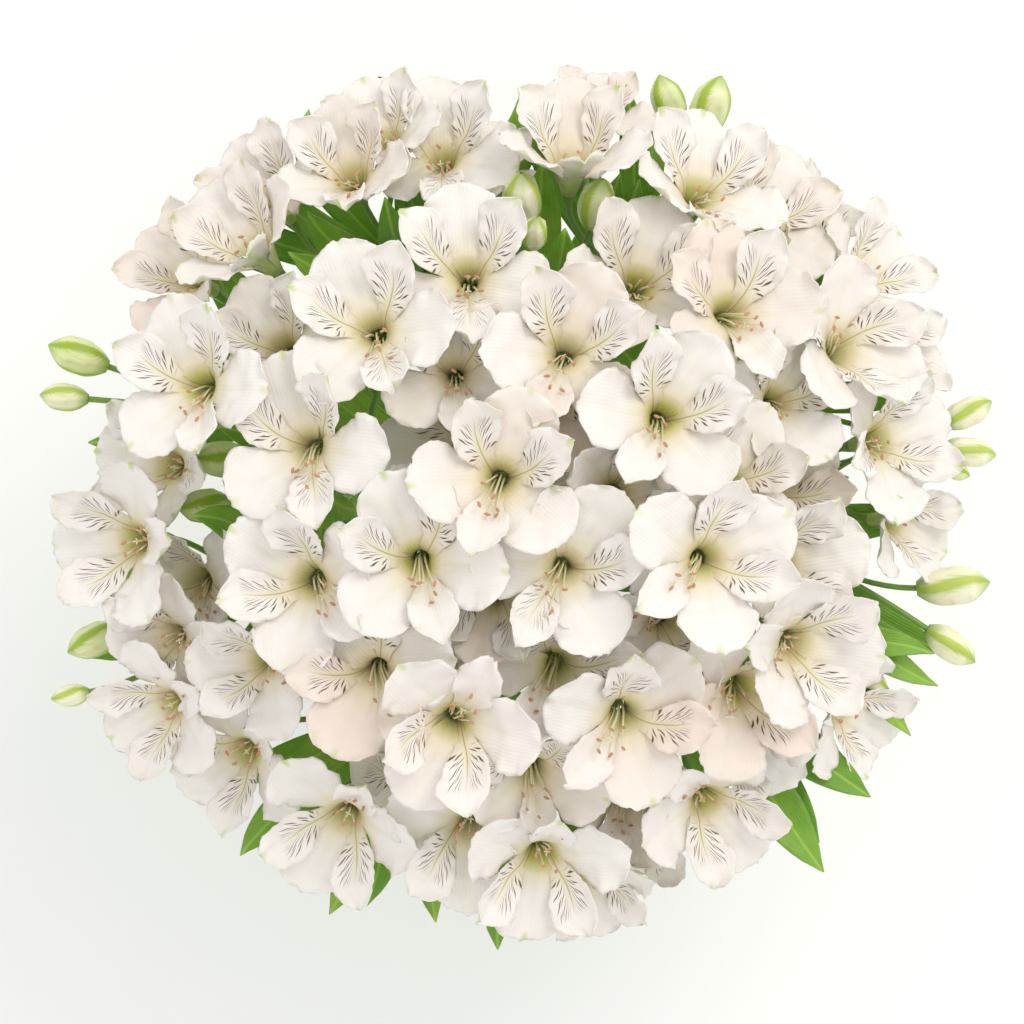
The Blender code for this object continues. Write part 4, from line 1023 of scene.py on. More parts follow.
def dashes(reach, spread, thick, salt):
    """Tapered dashes that lean out from both sides of the midline, each begun and ended by chance.

    They begin from reach to reach + spread millimetres away from it. Thick is half their width as a
    share of the gap, and salt shifts them along.
    """
    cells = add(petal, "ShaderNodeMath", {0: feather, 1: 1 / STREAK_GAP, 2: salt}, operation="MULTIPLY_ADD")
    cell = add(petal, "ShaderNodeMath", {0: cells}, operation="FLOOR")
    inside = add(petal, "ShaderNodeMath", {0: cells}, operation="FRACT")
    side = add(petal, "ShaderNodeMath", {0: across}, operation="SIGN")
    seed = add(petal, "ShaderNodeMath", {0: side, 1: 37.0, 2: own}, operation="MULTIPLY_ADD")
    seed = add(petal, "ShaderNodeMath", {0: cell, 1: 5.17, 2: seed}, operation="MULTIPLY_ADD")
    chance = add(petal, "ShaderNodeTexWhiteNoise", {"W": seed}, noise_dimensions="1D")
    off_line = add(petal, "ShaderNodeMath", {0: inside, 1: 0.5}, operation="SUBTRACT")
    off_line = add(petal, "ShaderNodeMath", {0: off_line}, operation="ABSOLUTE")
    begin = add(petal, "ShaderNodeMath", {0: chance, 1: spread, 2: reach}, operation="MULTIPLY_ADD")
    farthest = {0: chance, 1: spread * 1.4, 2: reach + DASH_LENGTH}
    end = add(petal, "ShaderNodeMath", farthest, operation="MULTIPLY_ADD")
    from_begin_to_end = {"Value": away, "From Min": begin, "From Max": end, "To Max": math.pi}
    rising = add(petal, "ShaderNodeMapRange", from_begin_to_end)
    swell = add(petal, "ShaderNodeMath", {0: rising}, operation="SINE")
    half_width = add(petal, "ShaderNodeMath", {0: swell, 1: thick, 2: -DASH_TAPER}, operation="MULTIPLY_ADD")
    dash = add(petal, "ShaderNodeMath", {0: half_width, 1: off_line}, operation="SUBTRACT")
    return add(petal, "ShaderNodeMapRange", {"Value": dash, "From Min": -DASH_BLUR, "From Max": DASH_BLUR})


near_dash = dashes(0.3, 0.9, 0.16, 0.0)
far_dash = dashes(2.2, 1.6, 0.15, 0.4)
dash = add(petal, "ShaderNodeMath", {0: near_dash, 1: far_dash}, operation="MAXIMUM")

# How far each layer reaches, along the petal or away from its midline: the millimetres where it
# starts and where it is full, and how strong it is there.
from_foot, to_end, cream_share, throat_share, mid_end, midline, mid_rib = (
    add(petal, "ShaderNodeMapRange", {"Value": distance, "From Min": start, "From Max": end, "To Max": most})
    for distance, start, end, most in (
        (along, 1.0, 3.5, 1.0),
        (along, 20.0, 17.0, 1.0),
        (along, 8.0, -4.0, 0.9),
        (along, -0.5, -9.0, 1.0),
        (along, 20.0, 8.0, 1.0),
        (away, 2.6, 0.2, 0.7),
        (away, 0.35, 0.1, 0.6),
    )
)
mid_weight = add(petal, "ShaderNodeMapRange", {"Value": streaked, "To Min": 0.25, "To Max": 1.0})
for limit in (from_foot, to_end, streaked):
    dash = add(petal, "ShaderNodeMath", {0: dash, 1: limit}, operation="MULTIPLY")
for limit in (mid_end, mid_weight):
    midline = add(petal, "ShaderNodeMath", {0: midline, 1: limit}, operation="MULTIPLY")
for limit in (mid_end, streaked):
    mid_rib = add(petal, "ShaderNodeMath", {0: mid_rib, 1: limit}, operation="MULTIPLY")

cloud = add(petal, "ShaderNodeTexNoise", {"Vector": place, "Scale": CLOUDS, "Detail": 3.0})
vein_wave = {0: across, 1: math.tau / VEIN_GAP_MM, 2: wobble}
veins = add(petal, "ShaderNodeMath", vein_wave, operation="MULTIPLY_ADD")
veins = add(petal, "ShaderNodeMath", {0: veins}, operation="COSINE")
crests = {"Value": veins, "From Min": 0.5, "From Max": 1.0, "To Max": 0.07}
vein_tint = add(petal, "ShaderNodeMapRange", crests)

# Every bloom ripens by itself, from a lime throat to a beige one.
bloom_number = add(petal, "ShaderNodeMath", {0: own, 1: 1 / len(TEPALS)}, operation="MULTIPLY")
bloom_number = add(petal, "ShaderNodeMath", {0: bloom_number}, operation="FLOOR")
ripeness = add(petal, "ShaderNodeTexWhiteNoise", {"W": bloom_number}, noise_dimensions="1D")
olive = add(petal, "ShaderNodeMix", {0: ripeness, 6: linear("#C2C262"), 7: linear("#D8CDA6")}, **COLOURS)
throat = add(petal, "ShaderNodeMix", {0: streaked, 6: olive, 7: linear("#CDB98C")}, **COLOURS)

# The lime spot is an oval at the tip, as strong as chance has it on each tepal.
spot = 0.0
for distance, reach in zip((across, from_tip), LIME_SPOT_MM):
    share = add(petal, "ShaderNodeMath", {0: distance, 1: reach}, operation="DIVIDE")
    spot = add(petal, "ShaderNodeMath", {0: share, 1: share, 2: spot}, operation="MULTIPLY_ADD")
lime_chance = add(petal, "ShaderNodeTexWhiteNoise", {"W": own}, noise_dimensions="1D")
some_of_them = {"Value": lime_chance, "From Min": 0.35, "From Max": 1.0, "To Max": 0.8}
greenness = add(petal, "ShaderNodeMapRange", some_of_them)
inwards = {"Value": spot, "From Min": 1.4, "From Max": 0.0, "To Max": greenness}
spot = add(petal, "ShaderNodeMapRange", inwards)

white = linear("#F4F0EC")
for share, layer in (
    (cloud, linear("#ECE6DF")),
    (blush, BLUSHED),
    (vein_tint, linear("#D6CDB8")),
    (cream_share, linear("#E3D6B4")),
    (throat_share, throat),
    (midline, linear("#DCD6A4")),
    (mid_rib, linear("#8A6A4E")),
    (spot, TIP_GREEN),
    (dash, linear("#62412F")),
):
    white = add(petal, "ShaderNodeMix", {0: share, 6: white, 7: layer}, **COLOURS)
relief = add(petal, "ShaderNodeMath", {0: veins, 1: 0.3, 2: cloud}, operation="MULTIPLY_ADD")
petal.node_tree.links.new(white, shader.inputs["Base Color"])
bump = add(petal, "ShaderNodeBump", {"Height": relief, "Strength": 0.3, "Distance": 0.3 * MM})
petal.node_tree.links.new(bump, shader.inputs["Normal"])

# Back of a petal: the same tissue without the marks, greener along its midrib, at its foot and its tip.
petal_back, shader = finish_named("petal_back", Roughness=0.6, IOR=1.40, Sheen_Weight=0.1)
place = add(petal_back, "ShaderNodeAttribute", {}, out="Vector", attribute_name="place")
tone = add(petal_back, "ShaderNodeAttribute", {}, out="Vector", attribute_name="tone")
across, along = (add(petal_back, "ShaderNodeSeparateXYZ", {0: place}, out=k) for k in range(2))
blush, from_tip = (add(petal_back, "ShaderNodeSeparateXYZ", {0: tone}, out=k) for k in (1, 2))
cloud = add(petal_back, "ShaderNodeTexNoise", {"Vector": place, "Scale": BACK_CLOUDS, "Detail": 3.0})
away = add(petal_back, "ShaderNodeMath", {0: across}, operation="ABSOLUTE")
ragged = add(petal_back, "ShaderNodeMath", {0: cloud, 1: 1.6, 2: away}, operation="MULTIPLY_ADD")
rib, foot, tip = (
    add(petal_back, "ShaderNodeMapRange", reach)
    for reach in (
        {"Value": ragged, "From Min": 3.4, "From Max": 0.9, "To Max": 0.75},
        {"Value": along, "From Min": 3.0, "From Max": -14.0, "To Max": 0.9},
        {"Value": from_tip, "From Min": 3.5, "From Max": 0.0, "To Max": 0.5},
    )
)
white = linear("#F1EDE6")
for share, layer in (
    (cloud, linear("#E8E1D4")),
    (blush, BLUSHED),
    (rib, linear("#C4D27C")),
    (foot, linear("#A9BB58")),
    (tip, TIP_GREEN),
):
    white = add(petal_back, "ShaderNodeMix", {0: share, 6: white, 7: layer}, **COLOURS)
petal_back.node_tree.links.new(white, shader.inputs["Base Color"])
bump = add(petal_back, "ShaderNodeBump", {"Height": cloud, "Strength": 0.3, "Distance": 0.3 * MM})
petal_back.node_tree.links.new(bump, shader.inputs["Normal"])


def tepal_line(tepal, opening, flex, share):
    """Function of s, 0 at the throat and 1 at the tip: place, side and front in the bloom's axes."""
    slope_in = math.radians(tepal.slope_in * opening + flex)
    slope_out = math.radians(tepal.slope_out * opening + flex * TIP_FLEX)
    bend = slope_out - slope_in
    length = tepal.length * share

    def line(s):
        slope = slope_in + bend * s
        radial = THROAT_RADIUS + length * (math.cos(slope_in) - math.cos(slope)) / bend
        axial = THROAT_DEPTH + length * (math.sin(slope) - math.sin(slope_in)) / bend
        azimuth = math.radians(tepal.azimuth + tepal.shift * min(1.0, s * SHIFT_RATE))
        out = Vector((math.sin(azimuth), math.cos(azimuth), 0))
        side = Vector((math.cos(azimuth), -math.sin(azimuth), 0))
        front = UP * math.sin(slope) - out * math.cos(slope)
        return out * radial + UP * axial, side, front

    return line


def narrowed(share):
    return LEAST_WIDTH + (1 - LEAST_WIDTH) * share


def tepal_tips(tepal, opening, flex, share):
    """The tip corners that the solid of a tepal has."""
    line = tepal_line(tepal, opening, flex, share)
    tip, side, _ = line(1)
    half = tepal.width * narrowed(share) * tepal.blunt / 2
    return (tip - side * half, tip + side * half) if half else (tip,)


def claw_line(line):
    """Function of t, 0 at the hub and 1 at the throat, which runs on smoothly into the blade."""
    throat, side, _ = line(0)
    onward = (line(0.02)[0] - throat).normalized()
    out = Vector((throat.x, throat.y, 0)).normalized()
    hub = out * CLAW_RING + UP * CLAW_RISE
    knee = throat - onward * CLAW_KNEE

    def claw(t):
        place = hub * (1 - t) ** 2 + knee * (2 * t * (1 - t)) + throat * t * t
        heading = ((knee - hub) * (1 - t) + (throat - knee) * t).normalized()
        return place, side, UP * heading.dot(out) - out * heading.z

    return claw


def add_tepal(skin, tepal, opening, wave, flex, share, matrix, own, streaked, blush):
    """One tepal: a narrow claw from the hub, then a spoon-shaped blade with a wavy, nicked edge."""
    line = tepal_line(tepal, opening, flex, share)
    claw = claw_line(line)
    outer = tepal.blunt > 0
    behind = OUTER_BEHIND if outer else 0
    length = tepal.length * share * BLADE_GROWTH
    half_widest = tepal.width * narrowed(share) / 2 * (OUTER_FULLNESS if outer else INNER_FULLNESS)
    claw_half = (OUTER_CLAW if outer else INNER_CLAW) / 2
    blunt = OUTER_END if outer else INNER_END
    rounding = OUTER_ROUNDING if outer else INNER_ROUNDING
    pointed = OUTER_POINT if outer else INNER_POINT
    chance = random.Random(own)
    phases = [chance.uniform(0, math.tau) for _ in range(4)]
    rates = [chance.uniform(*EDGE_WAVES) for _ in range(2)]
    rolls = [chance.uniform(*EDGE_ROLL_MM) * MM for _ in range(2)]
    recurve = chance.uniform(*RECURVE_MM) * MM
    twist = math.radians(chance.gauss(0, TWIST))
    spoon = chance.uniform(*SPOON_MM) * MM
    swerve = chance.uniform(-SWERVE_MM, SWERVE_MM) * MM

    def half_width(t, v):
        if t < 1:
            return CLAW_FOOT + (claw_half - CLAW_FOOT) * t * t * (3 - 2 * t)
        if v < WIDEST:
            return claw_half + (half_widest - claw_half) * math.sin(math.pi / 2 * v / WIDEST) ** SHOULDER
        return half_widest * (1 - (1 - blunt) * ((v - WIDEST) / (1 - WIDEST)) ** END_ROUNDNESS)

    def reach(u, v, half):
        """How far along the blade a point lies that would be at v without the end's shape and nicks."""
        nick = noise.noise(Vector((u * half / MM / NICK_SIZE_MM, v * 3, own * 3.1)))
        end = 1 - rounding * abs(u) ** 2.4 + NICK * nick + pointed * math.exp(-(u / POINT_WIDTH) ** 2)
        return v * (1 + (end * BLADE_GROWTH - 1) * v * v)

    def rise_of_blade(u, v, x, y):
        """How far a point stands in front of the plain blade; u and v are its shares across and along."""
        early = min(1.0, v * 3)
        soon = min(1.0, v * 2)
        right = u > 0
        rise = tepal.cup * half_widest * 2 * u * u * early + wave * u * soon
        rise -= behind * max(0.0, 1 - v * 2)
        sway = math.sin(math.tau * rates[right] * v + phases[right])
        sway += RIPPLE_SHARE * math.sin(math.tau * EDGE_RIPPLE * rates[right] * v + phases[2 + right])
        rise += FRILL * sway * abs(u) ** 3 * min(1.0, v * 2.5)
        rise += TIP_FRILL * math.sin(u * 7 + phases[0]) * v**4
        rise += x * math.tan(twist) * v
        rise -= rolls[right] * u * u * v * v
        rise -= recurve * max(0.0, v - 0.45) ** 2 * 2.4
        rise -= spoon * math.sin(math.pi * v) * (1 - u * u)
        x_mm = x / MM
        rise += BUCKLE * noise.noise(Vector((x_mm / BUCKLE_SIZE_MM, y / BUCKLE_SIZE_MM, own * 7.3))) * early
        rise += CRUMPLE * noise.noise(Vector((x_mm / CRUMPLE_SIZE_MM, y / CRUMPLE_RUN_MM, own * 5.9))) * soon
        return rise - GROOVE * math.exp(-(u / GROOVE_WIDTH) ** 2) * math.sin(math.pi * v)

    rows = []
    for k in range(CLAW_ROWS + BLADE_ROWS + 1):
        t = k / CLAW_ROWS
        v = max(0.0, (k - CLAW_ROWS) / BLADE_ROWS)
        half = half_width(t, v)
        row = []
        for j in range(TEPAL_COLUMNS + 1):
            u = 2 * j / TEPAL_COLUMNS - 1
            x = u * half
            if t < 1:
                place, side, front = claw(t)
                rise = 0.25 * half * u * u - behind * t
                y = -(1 - t) * THROAT_DEPTH / MM
            else:
                s = reach(u, v, half)
                place, side, front = line(s)
                y = s * tepal.length * share / MM
                ragged = noise.noise(Vector((y / EDGE_NICK_SIZE_MM, 5.0 * (u > 0), own * 1.7)))
                x += u * abs(u) ** 3 * EDGE_NICK * ragged * min(1.0, v * 2.5)
                x += swerve * v * v
                rise = rise_of_blade(u, v, x, y)
            point = matrix @ (place + side * x + front * rise)
            row.append((point, (x / MM, y, own), (streaked, blush, length / MM - y)))
        rows.append(row)
    skin.sheet(rows)


BLUSH_SPOTS = ((440, 655), (552, 405), (640, 715), (572, 160), (745, 715))  # columns and rows
BLUSH_REACH = 34  # columns or rows
WARMEST = 0.6
LOW_STREAKED = 0.18  # share of the low tepals that have streaks as well, and how strong these are
LOW_STREAKS = 0.6
tepal_skins = {}
for number, placed in enumerate(placed_blooms):
    skin = tepal_skins.setdefault(placed.node, Skin())
    chance = random.Random(number)
    warm = max(0.0, chance.uniform(-0.5, 0.55))
    place = Vector((placed.bloom.column, placed.bloom.row))
    if min((place - Vector(spot)).length for spot in BLUSH_SPOTS) < BLUSH_REACH:
        warm = WARMEST
    for k, (tepal, wave, jitter) in enumerate(zip(TEPALS, placed.waves, placed.jitters)):
        options = [(bend + jitter, share) for bend, share in FLEXES]

        def tips(option):
            return [placed.matrix @ tip for tip in tepal_tips(tepal, placed.bloom.opening, *option)]

        flex, share = taken(options, tips, solid_corners[placed.node])
        streaked = 1.0 if tepal.name in ("inner_left", "inner_right") else 0.0
        if tepal.name == "inner_low" and chance.random() < LOW_STREAKED:
            streaked = LOW_STREAKS
        own = number * len(TEPALS) + k
        add_tepal(skin, tepal, placed.bloom.opening, wave, flex, share, placed.matrix, own, streaked,
                  warm * chance.random())

for node, skin in tepal_skins.items():
    made = piece(f"{node}_tepals", skin, [petal, petal_back], [node])
    thicken(made, TEPAL_THICKNESS, 1)

# Stamens and style: six limp filaments that sag towards the low tepal, each with an anther at its tip,
# and a style with a three-way tip between them. They stand on the ovary, inside the claws.
FILAMENT_RADIUS = 0.40 * MM
ANTHER_LENGTH = 2.8 * MM
ANTHER_RADIUS = 0.65 * MM
STAMEN_FALL = 11 * MM
STAMEN_SPREAD = 5 * MM
STAMEN_TIP = 28 * MM
STAMEN_FOOT = 3.5 * MM
STAMEN_RING = 1.7 * MM  # radius of the ring that they stand in
STAMEN_RISE = 9 * MM  # how far they stand up straight
SAG_SCATTER_MM = (-5, 4)
ASIDE_SCATTER_MM = (-1, 1)
HEIGHT_SCATTER_MM = (-3.5, 2)
STYLE_FALL = STAMEN_FALL * 0.8
STYLE_TIP = STAMEN_TIP - 4 * MM
LOBE_LENGTH = 1.3 * MM
THREAD_ROWS = 8
THREAD_SIDES = 6
ANTHER_ROWS = 7
ANTHER_SIDES = 8
POLLEN_GRAIN = 0.25 * MM  # coarser than real, so that it shows

# Filament: glassy pale cream tissue, a little green at its foot.
filament, shader = finish_named("filament_tissue", Roughness=0.45, IOR=1.38)
tone = add(filament, "ShaderNodeAttribute", {}, out="Vector", attribute_name="tone")
along = add(filament, "ShaderNodeSeparateXYZ", {0: tone}, out=0)
colour = add(filament, "ShaderNodeMix", {0: along, 6: linear("#C9C98A"), 7: linear("#F0E6CC")}, **COLOURS)
filament.node_tree.links.new(colour, shader.inputs["Base Color"])

# Anther: a pod dusted with dry pollen, so quite matt and grainy, from pinkish tan to grey-brown.
anther, shader = finish_named("anther_pollen", Roughness=0.9, IOR=1.45)
place = add(anther, "ShaderNodeAttribute", {}, out="Vector", attribute_name="place")
own = add(anther, "ShaderNodeSeparateXYZ", {0: place}, out=2)
chance = add(anther, "ShaderNodeTexWhiteNoise", {"W": own}, noise_dimensions="1D")
grains = add(anther, "ShaderNodeTexNoise", {"Scale": 1 / POLLEN_GRAIN, "Detail": 2.0})
pod = add(anther, "ShaderNodeMix", {0: chance, 6: linear("#C48862"), 7: linear("#97754F")}, **COLOURS)
colour = add(anther, "ShaderNodeMix", {0: grains, 6: pod, 7: linear("#DDAE8A")}, **COLOURS)
anther.node_tree.links.new(colour, shader.inputs["Base Color"])
bump = add(anther, "ShaderNodeBump", {"Height": grains, "Strength": 0.6, "Distance": 0.2 * MM})
anther.node_tree.links.new(bump, shader.inputs["Normal"])


def add_thread(skin, curve, radius, own, rows=THREAD_ROWS, sides=THREAD_SIDES):
    """A filament or a part of the style, a little thinner at its tip."""
    shares = [k / rows for k in range(rows + 1)]
    centres = [bezier(curve, s) for s in shares]
    headings = [bezier_heading(curve, s) for s in shares]
    tube(skin, centres, [radius * (1.2 - 0.4 * s) for s in shares], headings, sides, own, lids=(0, 0))


def add_stamen(skin, matrix, k, chance):
    """One of the six: a filament that rises, sags and carries its anther askew."""
    turn = math.radians(60 * k)
    out = Vector((math.sin(turn), math.cos(turn), 0))
    foot = out * STAMEN_RING + UP * STAMEN_FOOT
    sag = STAMEN_FALL + chance.uniform(*SAG_SCATTER_MM) * MM
    aside = chance.uniform(*ASIDE_SCATTER_MM) * MM
    height = STAMEN_TIP + chance.uniform(*HEIGHT_SCATTER_MM) * MM
    tip = out * STAMEN_SPREAD + Vector((aside, -sag, height))
    near_tip = tip - Vector((out.x * 2 * MM, -1.5 * MM, 7 * MM))
    curve = [matrix @ point for point in (foot, foot + UP * STAMEN_RISE, near_tip, tip)]
    end_heading = bezier_heading(curve, 1)
    own = chance.uniform(0, 100)
    add_thread(skin, curve, FILAMENT_RADIUS * matrix.median_scale, own)
    lean = end_heading.orthogonal().normalized() + end_heading * chance.uniform(0, 0.8)
    heading = (Matrix.Rotation(chance.uniform(0, math.tau), 3, end_heading) @ lean).normalized()
    shares = [j / ANTHER_ROWS for j in range(ANTHER_ROWS + 1)]
    centres = [curve[3] + heading * ANTHER_LENGTH * (s - 0.5) for s in shares]
    radii = [max(0.08 * MM, ANTHER_RADIUS * math.sin(math.pi * s) ** 0.6) for s in shares]

    def groove(turn, row):
        return 1 - 0.25 * math.cos(turn) ** 8

    headings = [heading] * len(shares)
    tube(skin, centres, radii, headings, ANTHER_SIDES, own, lids=(1, 1), finish=1, flute=groove)


stamen_skins = {}
for number, placed in enumerate(placed_blooms):
    skin = stamen_skins.setdefault(placed.node, Skin())
    chance = random.Random(1000 + number)
    for k in range(6):
        add_stamen(skin, placed.matrix, k, chance)
    foot = UP * STAMEN_FOOT
    tip = Vector((0, -STYLE_FALL, STYLE_TIP))
    near_tip = tip - Vector((0, -1, 6)) * MM
    style = [placed.matrix @ point for point in (foot, foot + UP * STAMEN_RISE, near_tip, tip)]
    add_thread(skin, style, FILAMENT_RADIUS * 1.1, number)
    for k in range(3):
        turn = math.tau * k / 3
        lobe = tip + Vector((math.sin(turn), math.cos(turn), 0.9)) * LOBE_LENGTH
        curve = [placed.matrix @ (tip + (lobe - tip) * s) for s in (0, 0.33, 0.67, 1)]
        add_thread(skin, curve, FILAMENT_RADIUS * 0.8, number, rows=3, sides=5)

for node, skin in stamen_skins.items():
    piece(f"{node}_stamens", skin, [filament, anther], [node])

# The tie: dry raffia, a strip torn from a palm leaf. It is wound four times round the bundle where
# the stems cross, pulled tight and knotted, and its two tails hang down.
TIE_TURNS = 4
TIE_TURN = 3 * MM
TIE_THICKNESS = 1.8 * MM
KNOT_SIDE = -70  # degrees round the bundle
KNOT_LENGTH = 11 * MM
KNOT_STAND = 1 * MM
KNOT_TWIST = 2.2
TAIL_DROP = 42 * MM
TAIL_UNEVEN = 5 * MM
TAIL_OUT = 13 * MM
TAIL_SPREAD = 12 * MM
TAIL_WIDTH = 4 * MM
TAIL_THICKNESS = 0.7 * MM
RAFFIA_FIBRE_MM = 0.35
RAFFIA_RUN_MM = 20
WINDING_ROWS = 64  # in each turn
WINDING_WIDTH = TIE_TURN * 1.12  # each turn lies a little over the next
WINDING_SLACK = 0.25 * MM
SLACK_RUN = 30  # how often the slack changes from end to end
STRIP_SIDES = 20
STRIP_FOLD = 0.16  # depth of the folds, as a share of the strip's section
FOLD_RUN_MM = 25
KNOT_RADIUS = KNOT_LENGTH * 0.24
KNOT_STRANDS = 3
STRAND_DEPTH = 0.14
WRAP_RADIUS = KNOT_LENGTH * 0.27
WRAP_WIDTH = 3.2 * MM
WRAP_THICKNESS = 1.1 * MM
WRAP_SLANT = 0.45
WRAP_SHIFT = 0.8 * MM
TAIL_CURL = 0.9  # radians

# Raffia: dry palm fibre, matt and straw-coloured, with fibres along the strip.
raffia, shader = finish_named("dry_raffia", Roughness=0.85, IOR=1.5)
place = add(raffia, "ShaderNodeAttribute", {}, out="Vector", attribute_name="place")
stretch = (1 / RAFFIA_FIBRE_MM, 1 / RAFFIA_RUN_MM, 1)
fibres = add(raffia, "ShaderNodeVectorMath", {0: place, 1: stretch}, operation="MULTIPLY")
fibres = add(raffia, "ShaderNodeTexNoise", {"Vector": fibres, "Scale": 1.0, "Detail": 4.0})
fibres = add(raffia, "ShaderNodeMapRange", {"Value": fibres, "From Min": 0.3, "From Max": 0.7})
colour = add(raffia, "ShaderNodeMix", {0: fibres, 6: linear("#9A7443"), 7: linear("#E2C899")}, **COLOURS)
raffia.node_tree.links.new(colour, shader.inputs["Base Color"])
bump = add(raffia, "ShaderNodeBump", {"Height": fibres, "Strength": 0.9, "Distance": 0.4 * MM})
raffia.node_tree.links.new(bump, shader.inputs["Normal"])


def add_strip(skin, centres, wides, fronts, widths, thickness, own):
    """A folded strip: an oval section, lined by its fibres, carried along the given places."""
    rows = []
    along = 0.0
    for k, (centre, wide, front, width) in enumerate(zip(centres, wides, fronts, widths)):
        along += (centre - centres[max(k - 1, 0)]).length / MM
        row = []
        for j in range(STRIP_SIDES):
            turn = math.tau * j / STRIP_SIDES
            fold = 1 + STRIP_FOLD * noise.noise(Vector((j * 1.9, along / FOLD_RUN_MM, own)))
            point = centre + (wide * math.cos(turn) * width + front * math.sin(turn) * thickness) * fold / 2
            row.append((point, (math.cos(turn) * width / MM / 2, along, own), (0, 0, 0)))
        rows.append(row)
    first = skin.sheet(rows, closed=True)
    skin.lid(range(first, first + STRIP_SIDES), back=True)
    last = len(skin.points) - STRIP_SIDES
    skin.lid(range(last, last + STRIP_SIDES))


def inside_radius(height):
    """The inner radius of the tie's solid at that height from its middle."""
    level = [vertex.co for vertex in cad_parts["raffia_tie"].data.vertices
             if abs(vertex.co.z - TIE_HEIGHT - height) < 0.05 * MM]
    return min(math.hypot(point.x, point.y) for point in level)


tie_skin = Skin()
half_tie = TIE_TURNS * TIE_TURN / 2
waist = [(height, inside_radius(height)) for height in (-half_tie, 0, half_tie)]
turn_start = math.radians(KNOT_SIDE)
centres = []
wides = []
fronts = []
rows = WINDING_ROWS * TIE_TURNS
for k in range(rows + 1):
    share = k / rows
    turn = turn_start + math.tau * TIE_TURNS * share
    height = (half_tie - TIE_TURN / 2) * (1 - 2 * share)
    out = Vector((math.cos(turn), math.sin(turn), 0))
    loose = WINDING_SLACK * noise.noise(Vector((share * SLACK_RUN, 0, 0)))
    radius = smooth_through(waist, height) + TIE_THICKNESS / 2 + loose
    centres.append(out * radius + UP * (TIE_HEIGHT + height + 1.5 * loose))
    wides.append(UP)
    fronts.append(out)
add_strip(tie_skin, centres, wides, fronts, [WINDING_WIDTH] * len(centres), TIE_THICKNESS, 1)

# The knot: three twisted strands that lie along the bundle's side, with one wrap round them.
out = pointing(KNOT_SIDE, 0)
aside = Vector((-out.y, out.x, 0))
knot = out * (waist[1][1] + TIE_THICKNESS + KNOT_STAND) + UP * TIE_HEIGHT
shares = [k / 24 for k in range(25)]
radii = [KNOT_RADIUS * max(0.25, math.sin(math.pi * s) ** 0.55) for s in shares]


def strands(turn, row):
    return 1 + STRAND_DEPTH * abs(math.sin(KNOT_STRANDS / 2 * turn + KNOT_TWIST * math.pi * row))


centres = [knot + aside * KNOT_LENGTH * (s - 0.5) for s in shares]
tube(tie_skin, centres, radii, [aside] * len(shares), 30, 3, lids=(0, 0), flute=strands)
wrap_turns = [math.tau * k / 40 for k in range(41)]
lean = (aside + UP * WRAP_SLANT).normalized()
fronts = [(out * math.cos(turn) + UP * math.sin(turn)).normalized() for turn in wrap_turns]
centres = [
    knot + (out * math.cos(turn) + UP * math.sin(turn)) * WRAP_RADIUS + aside * WRAP_SHIFT * math.sin(turn)
    for turn in wrap_turns
]
widths = [WRAP_WIDTH] * len(centres)
add_strip(tie_skin, centres, [lean] * len(centres), fronts, widths, WRAP_THICKNESS, 4)

# The two tails: each springs out from the knot, curls and hangs, and narrows to its end.
for way in (-1, 1):
    drop = UP * (TAIL_DROP - way * TAIL_UNEVEN)
    root = knot + aside * way * KNOT_LENGTH / 5 + UP * way * 1.2 * MM
    tip = root + out * TAIL_OUT + aside * way * TAIL_SPREAD - drop
    curve = (root, root + out * TAIL_OUT * 0.7 + aside * way * TAIL_SPREAD * 0.35, tip + drop / 2, tip)
    shares = [k / 40 for k in range(41)]
    centres = [bezier(curve, s) for s in shares]
    wides = []
    for s in shares:
        heading = bezier_heading(curve, s)
        curl = Matrix.Rotation(TAIL_CURL * math.sin(s * 5 + way), 3, heading)
        wides.append(curl @ heading.cross(UP).normalized())
    fronts = [wide.cross(bezier_heading(curve, s)) for wide, s in zip(wides, shares)]
    swells = [0.6 + 0.45 * math.sin(math.pi * min(1, s * 1.15)) for s in shares]
    widths = [TAIL_WIDTH * swell * (1 - 0.6 * s**6) for swell, s in zip(swells, shares)]
    add_strip(tie_skin, centres, wides, fronts, widths, TAIL_THICKNESS, 5 + way)

piece("raffia_tie_strip", tie_skin, [raffia], ["raffia_tie"])

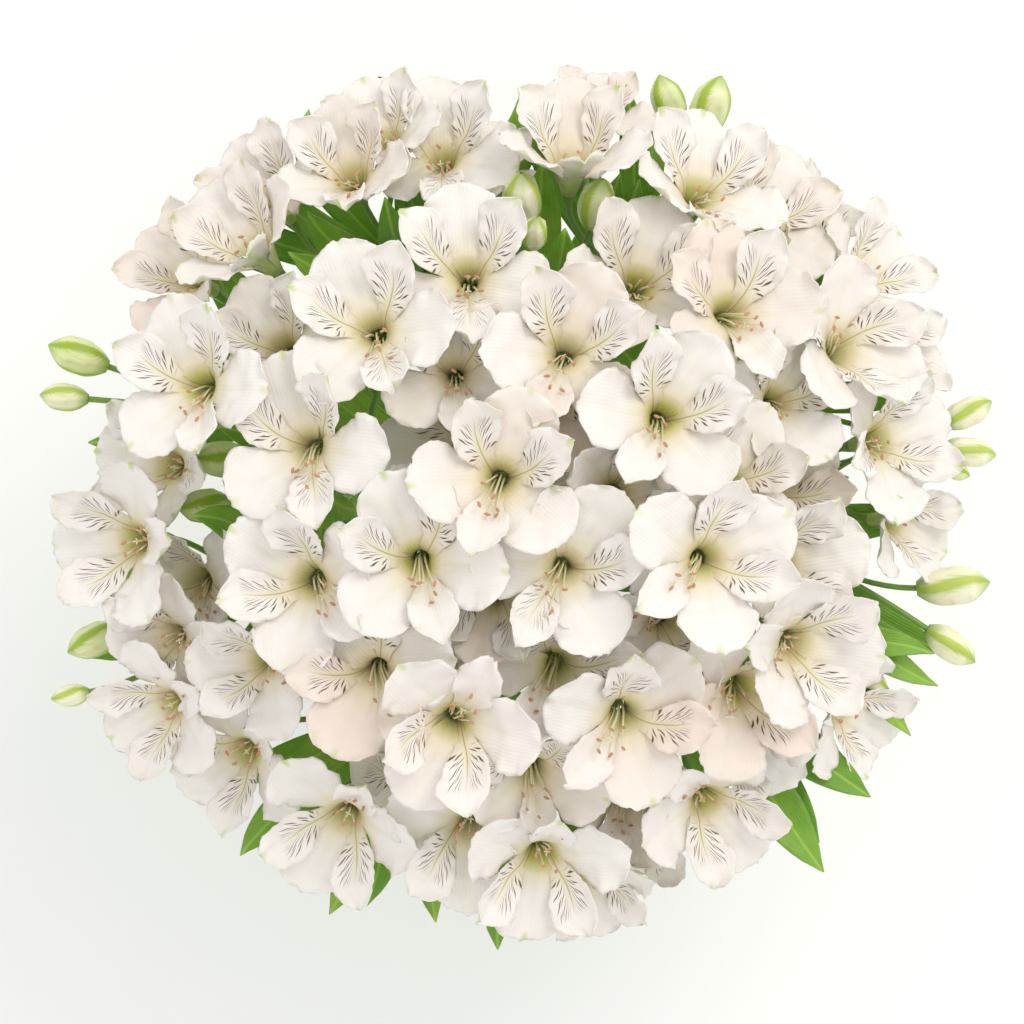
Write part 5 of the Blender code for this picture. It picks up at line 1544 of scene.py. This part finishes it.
# The floor: a wide table top, painted white.
# Matt white paint gives the eye an even pale ground with soft shadows.
HALF_FLOOR = 3.0
floor_mesh = bpy.data.meshes.new("floor")
floor_corners = [(x * HALF_FLOOR, y * HALF_FLOOR, 0) for x, y in ((-1, -1), (1, -1), (1, 1), (-1, 1))]
floor_mesh.from_pydata(floor_corners, [], [(0, 1, 2, 3)])
white_top, shader = finish_named("painted_table_top", Roughness=0.6)
shader.inputs["Base Color"].default_value = linear("#FBFBFA")
floor_mesh.materials.append(white_top)
floor = bpy.data.objects.new("floor", floor_mesh)
bpy.context.scene.collection.objects.link(floor)

# The light: the white walls of the room all round, and one large window to the upper right of the
# view, which shades each petal a little towards the lower left.
WALLS = "#FCFCFB"
WALL_STRENGTH = 1.0
WINDOW_LIGHT = "#FFFBF5"
WINDOW_PLACE = Vector((0.9, 1.2, 2.2))
WINDOW_SIZE = 1.2
WINDOW_POWER = 17
LIT_PLACE = Vector((0, 0, 0.3))
room = bpy.data.worlds.new("white_room")
room.use_nodes = True
room.node_tree.nodes["Background"].inputs["Color"].default_value = linear(WALLS)
room.node_tree.nodes["Background"].inputs["Strength"].default_value = WALL_STRENGTH
bpy.context.scene.world = room
lamp = bpy.data.lights.new("window", "AREA")
lamp.shape = "DISK"
lamp.size = WINDOW_SIZE
lamp.energy = WINDOW_POWER
lamp.color = linear(WINDOW_LIGHT)[:3]
window = bpy.data.objects.new("window", lamp)
window.location = WINDOW_PLACE
window.rotation_euler = (LIT_PLACE - WINDOW_PLACE).to_track_quat("-Z", "Y").to_euler()
bpy.context.scene.collection.objects.link(window)

# The camera: a long lens straight above the dome, so that the view shows it from the top alone.
LENS = 125.4
SENSOR_WIDTH = 36
camera_data = bpy.data.cameras.new("camera")
camera_data.lens = LENS
camera_data.sensor_width = SENSOR_WIDTH
camera = bpy.data.objects.new("camera", camera_data)
camera.location = (3.42 * MM, -5.32 * MM, EYE_HEIGHT)
bpy.context.scene.collection.objects.link(camera)
bpy.context.scene.camera = camera
bpy.context.scene.view_settings.view_transform = "Standard"
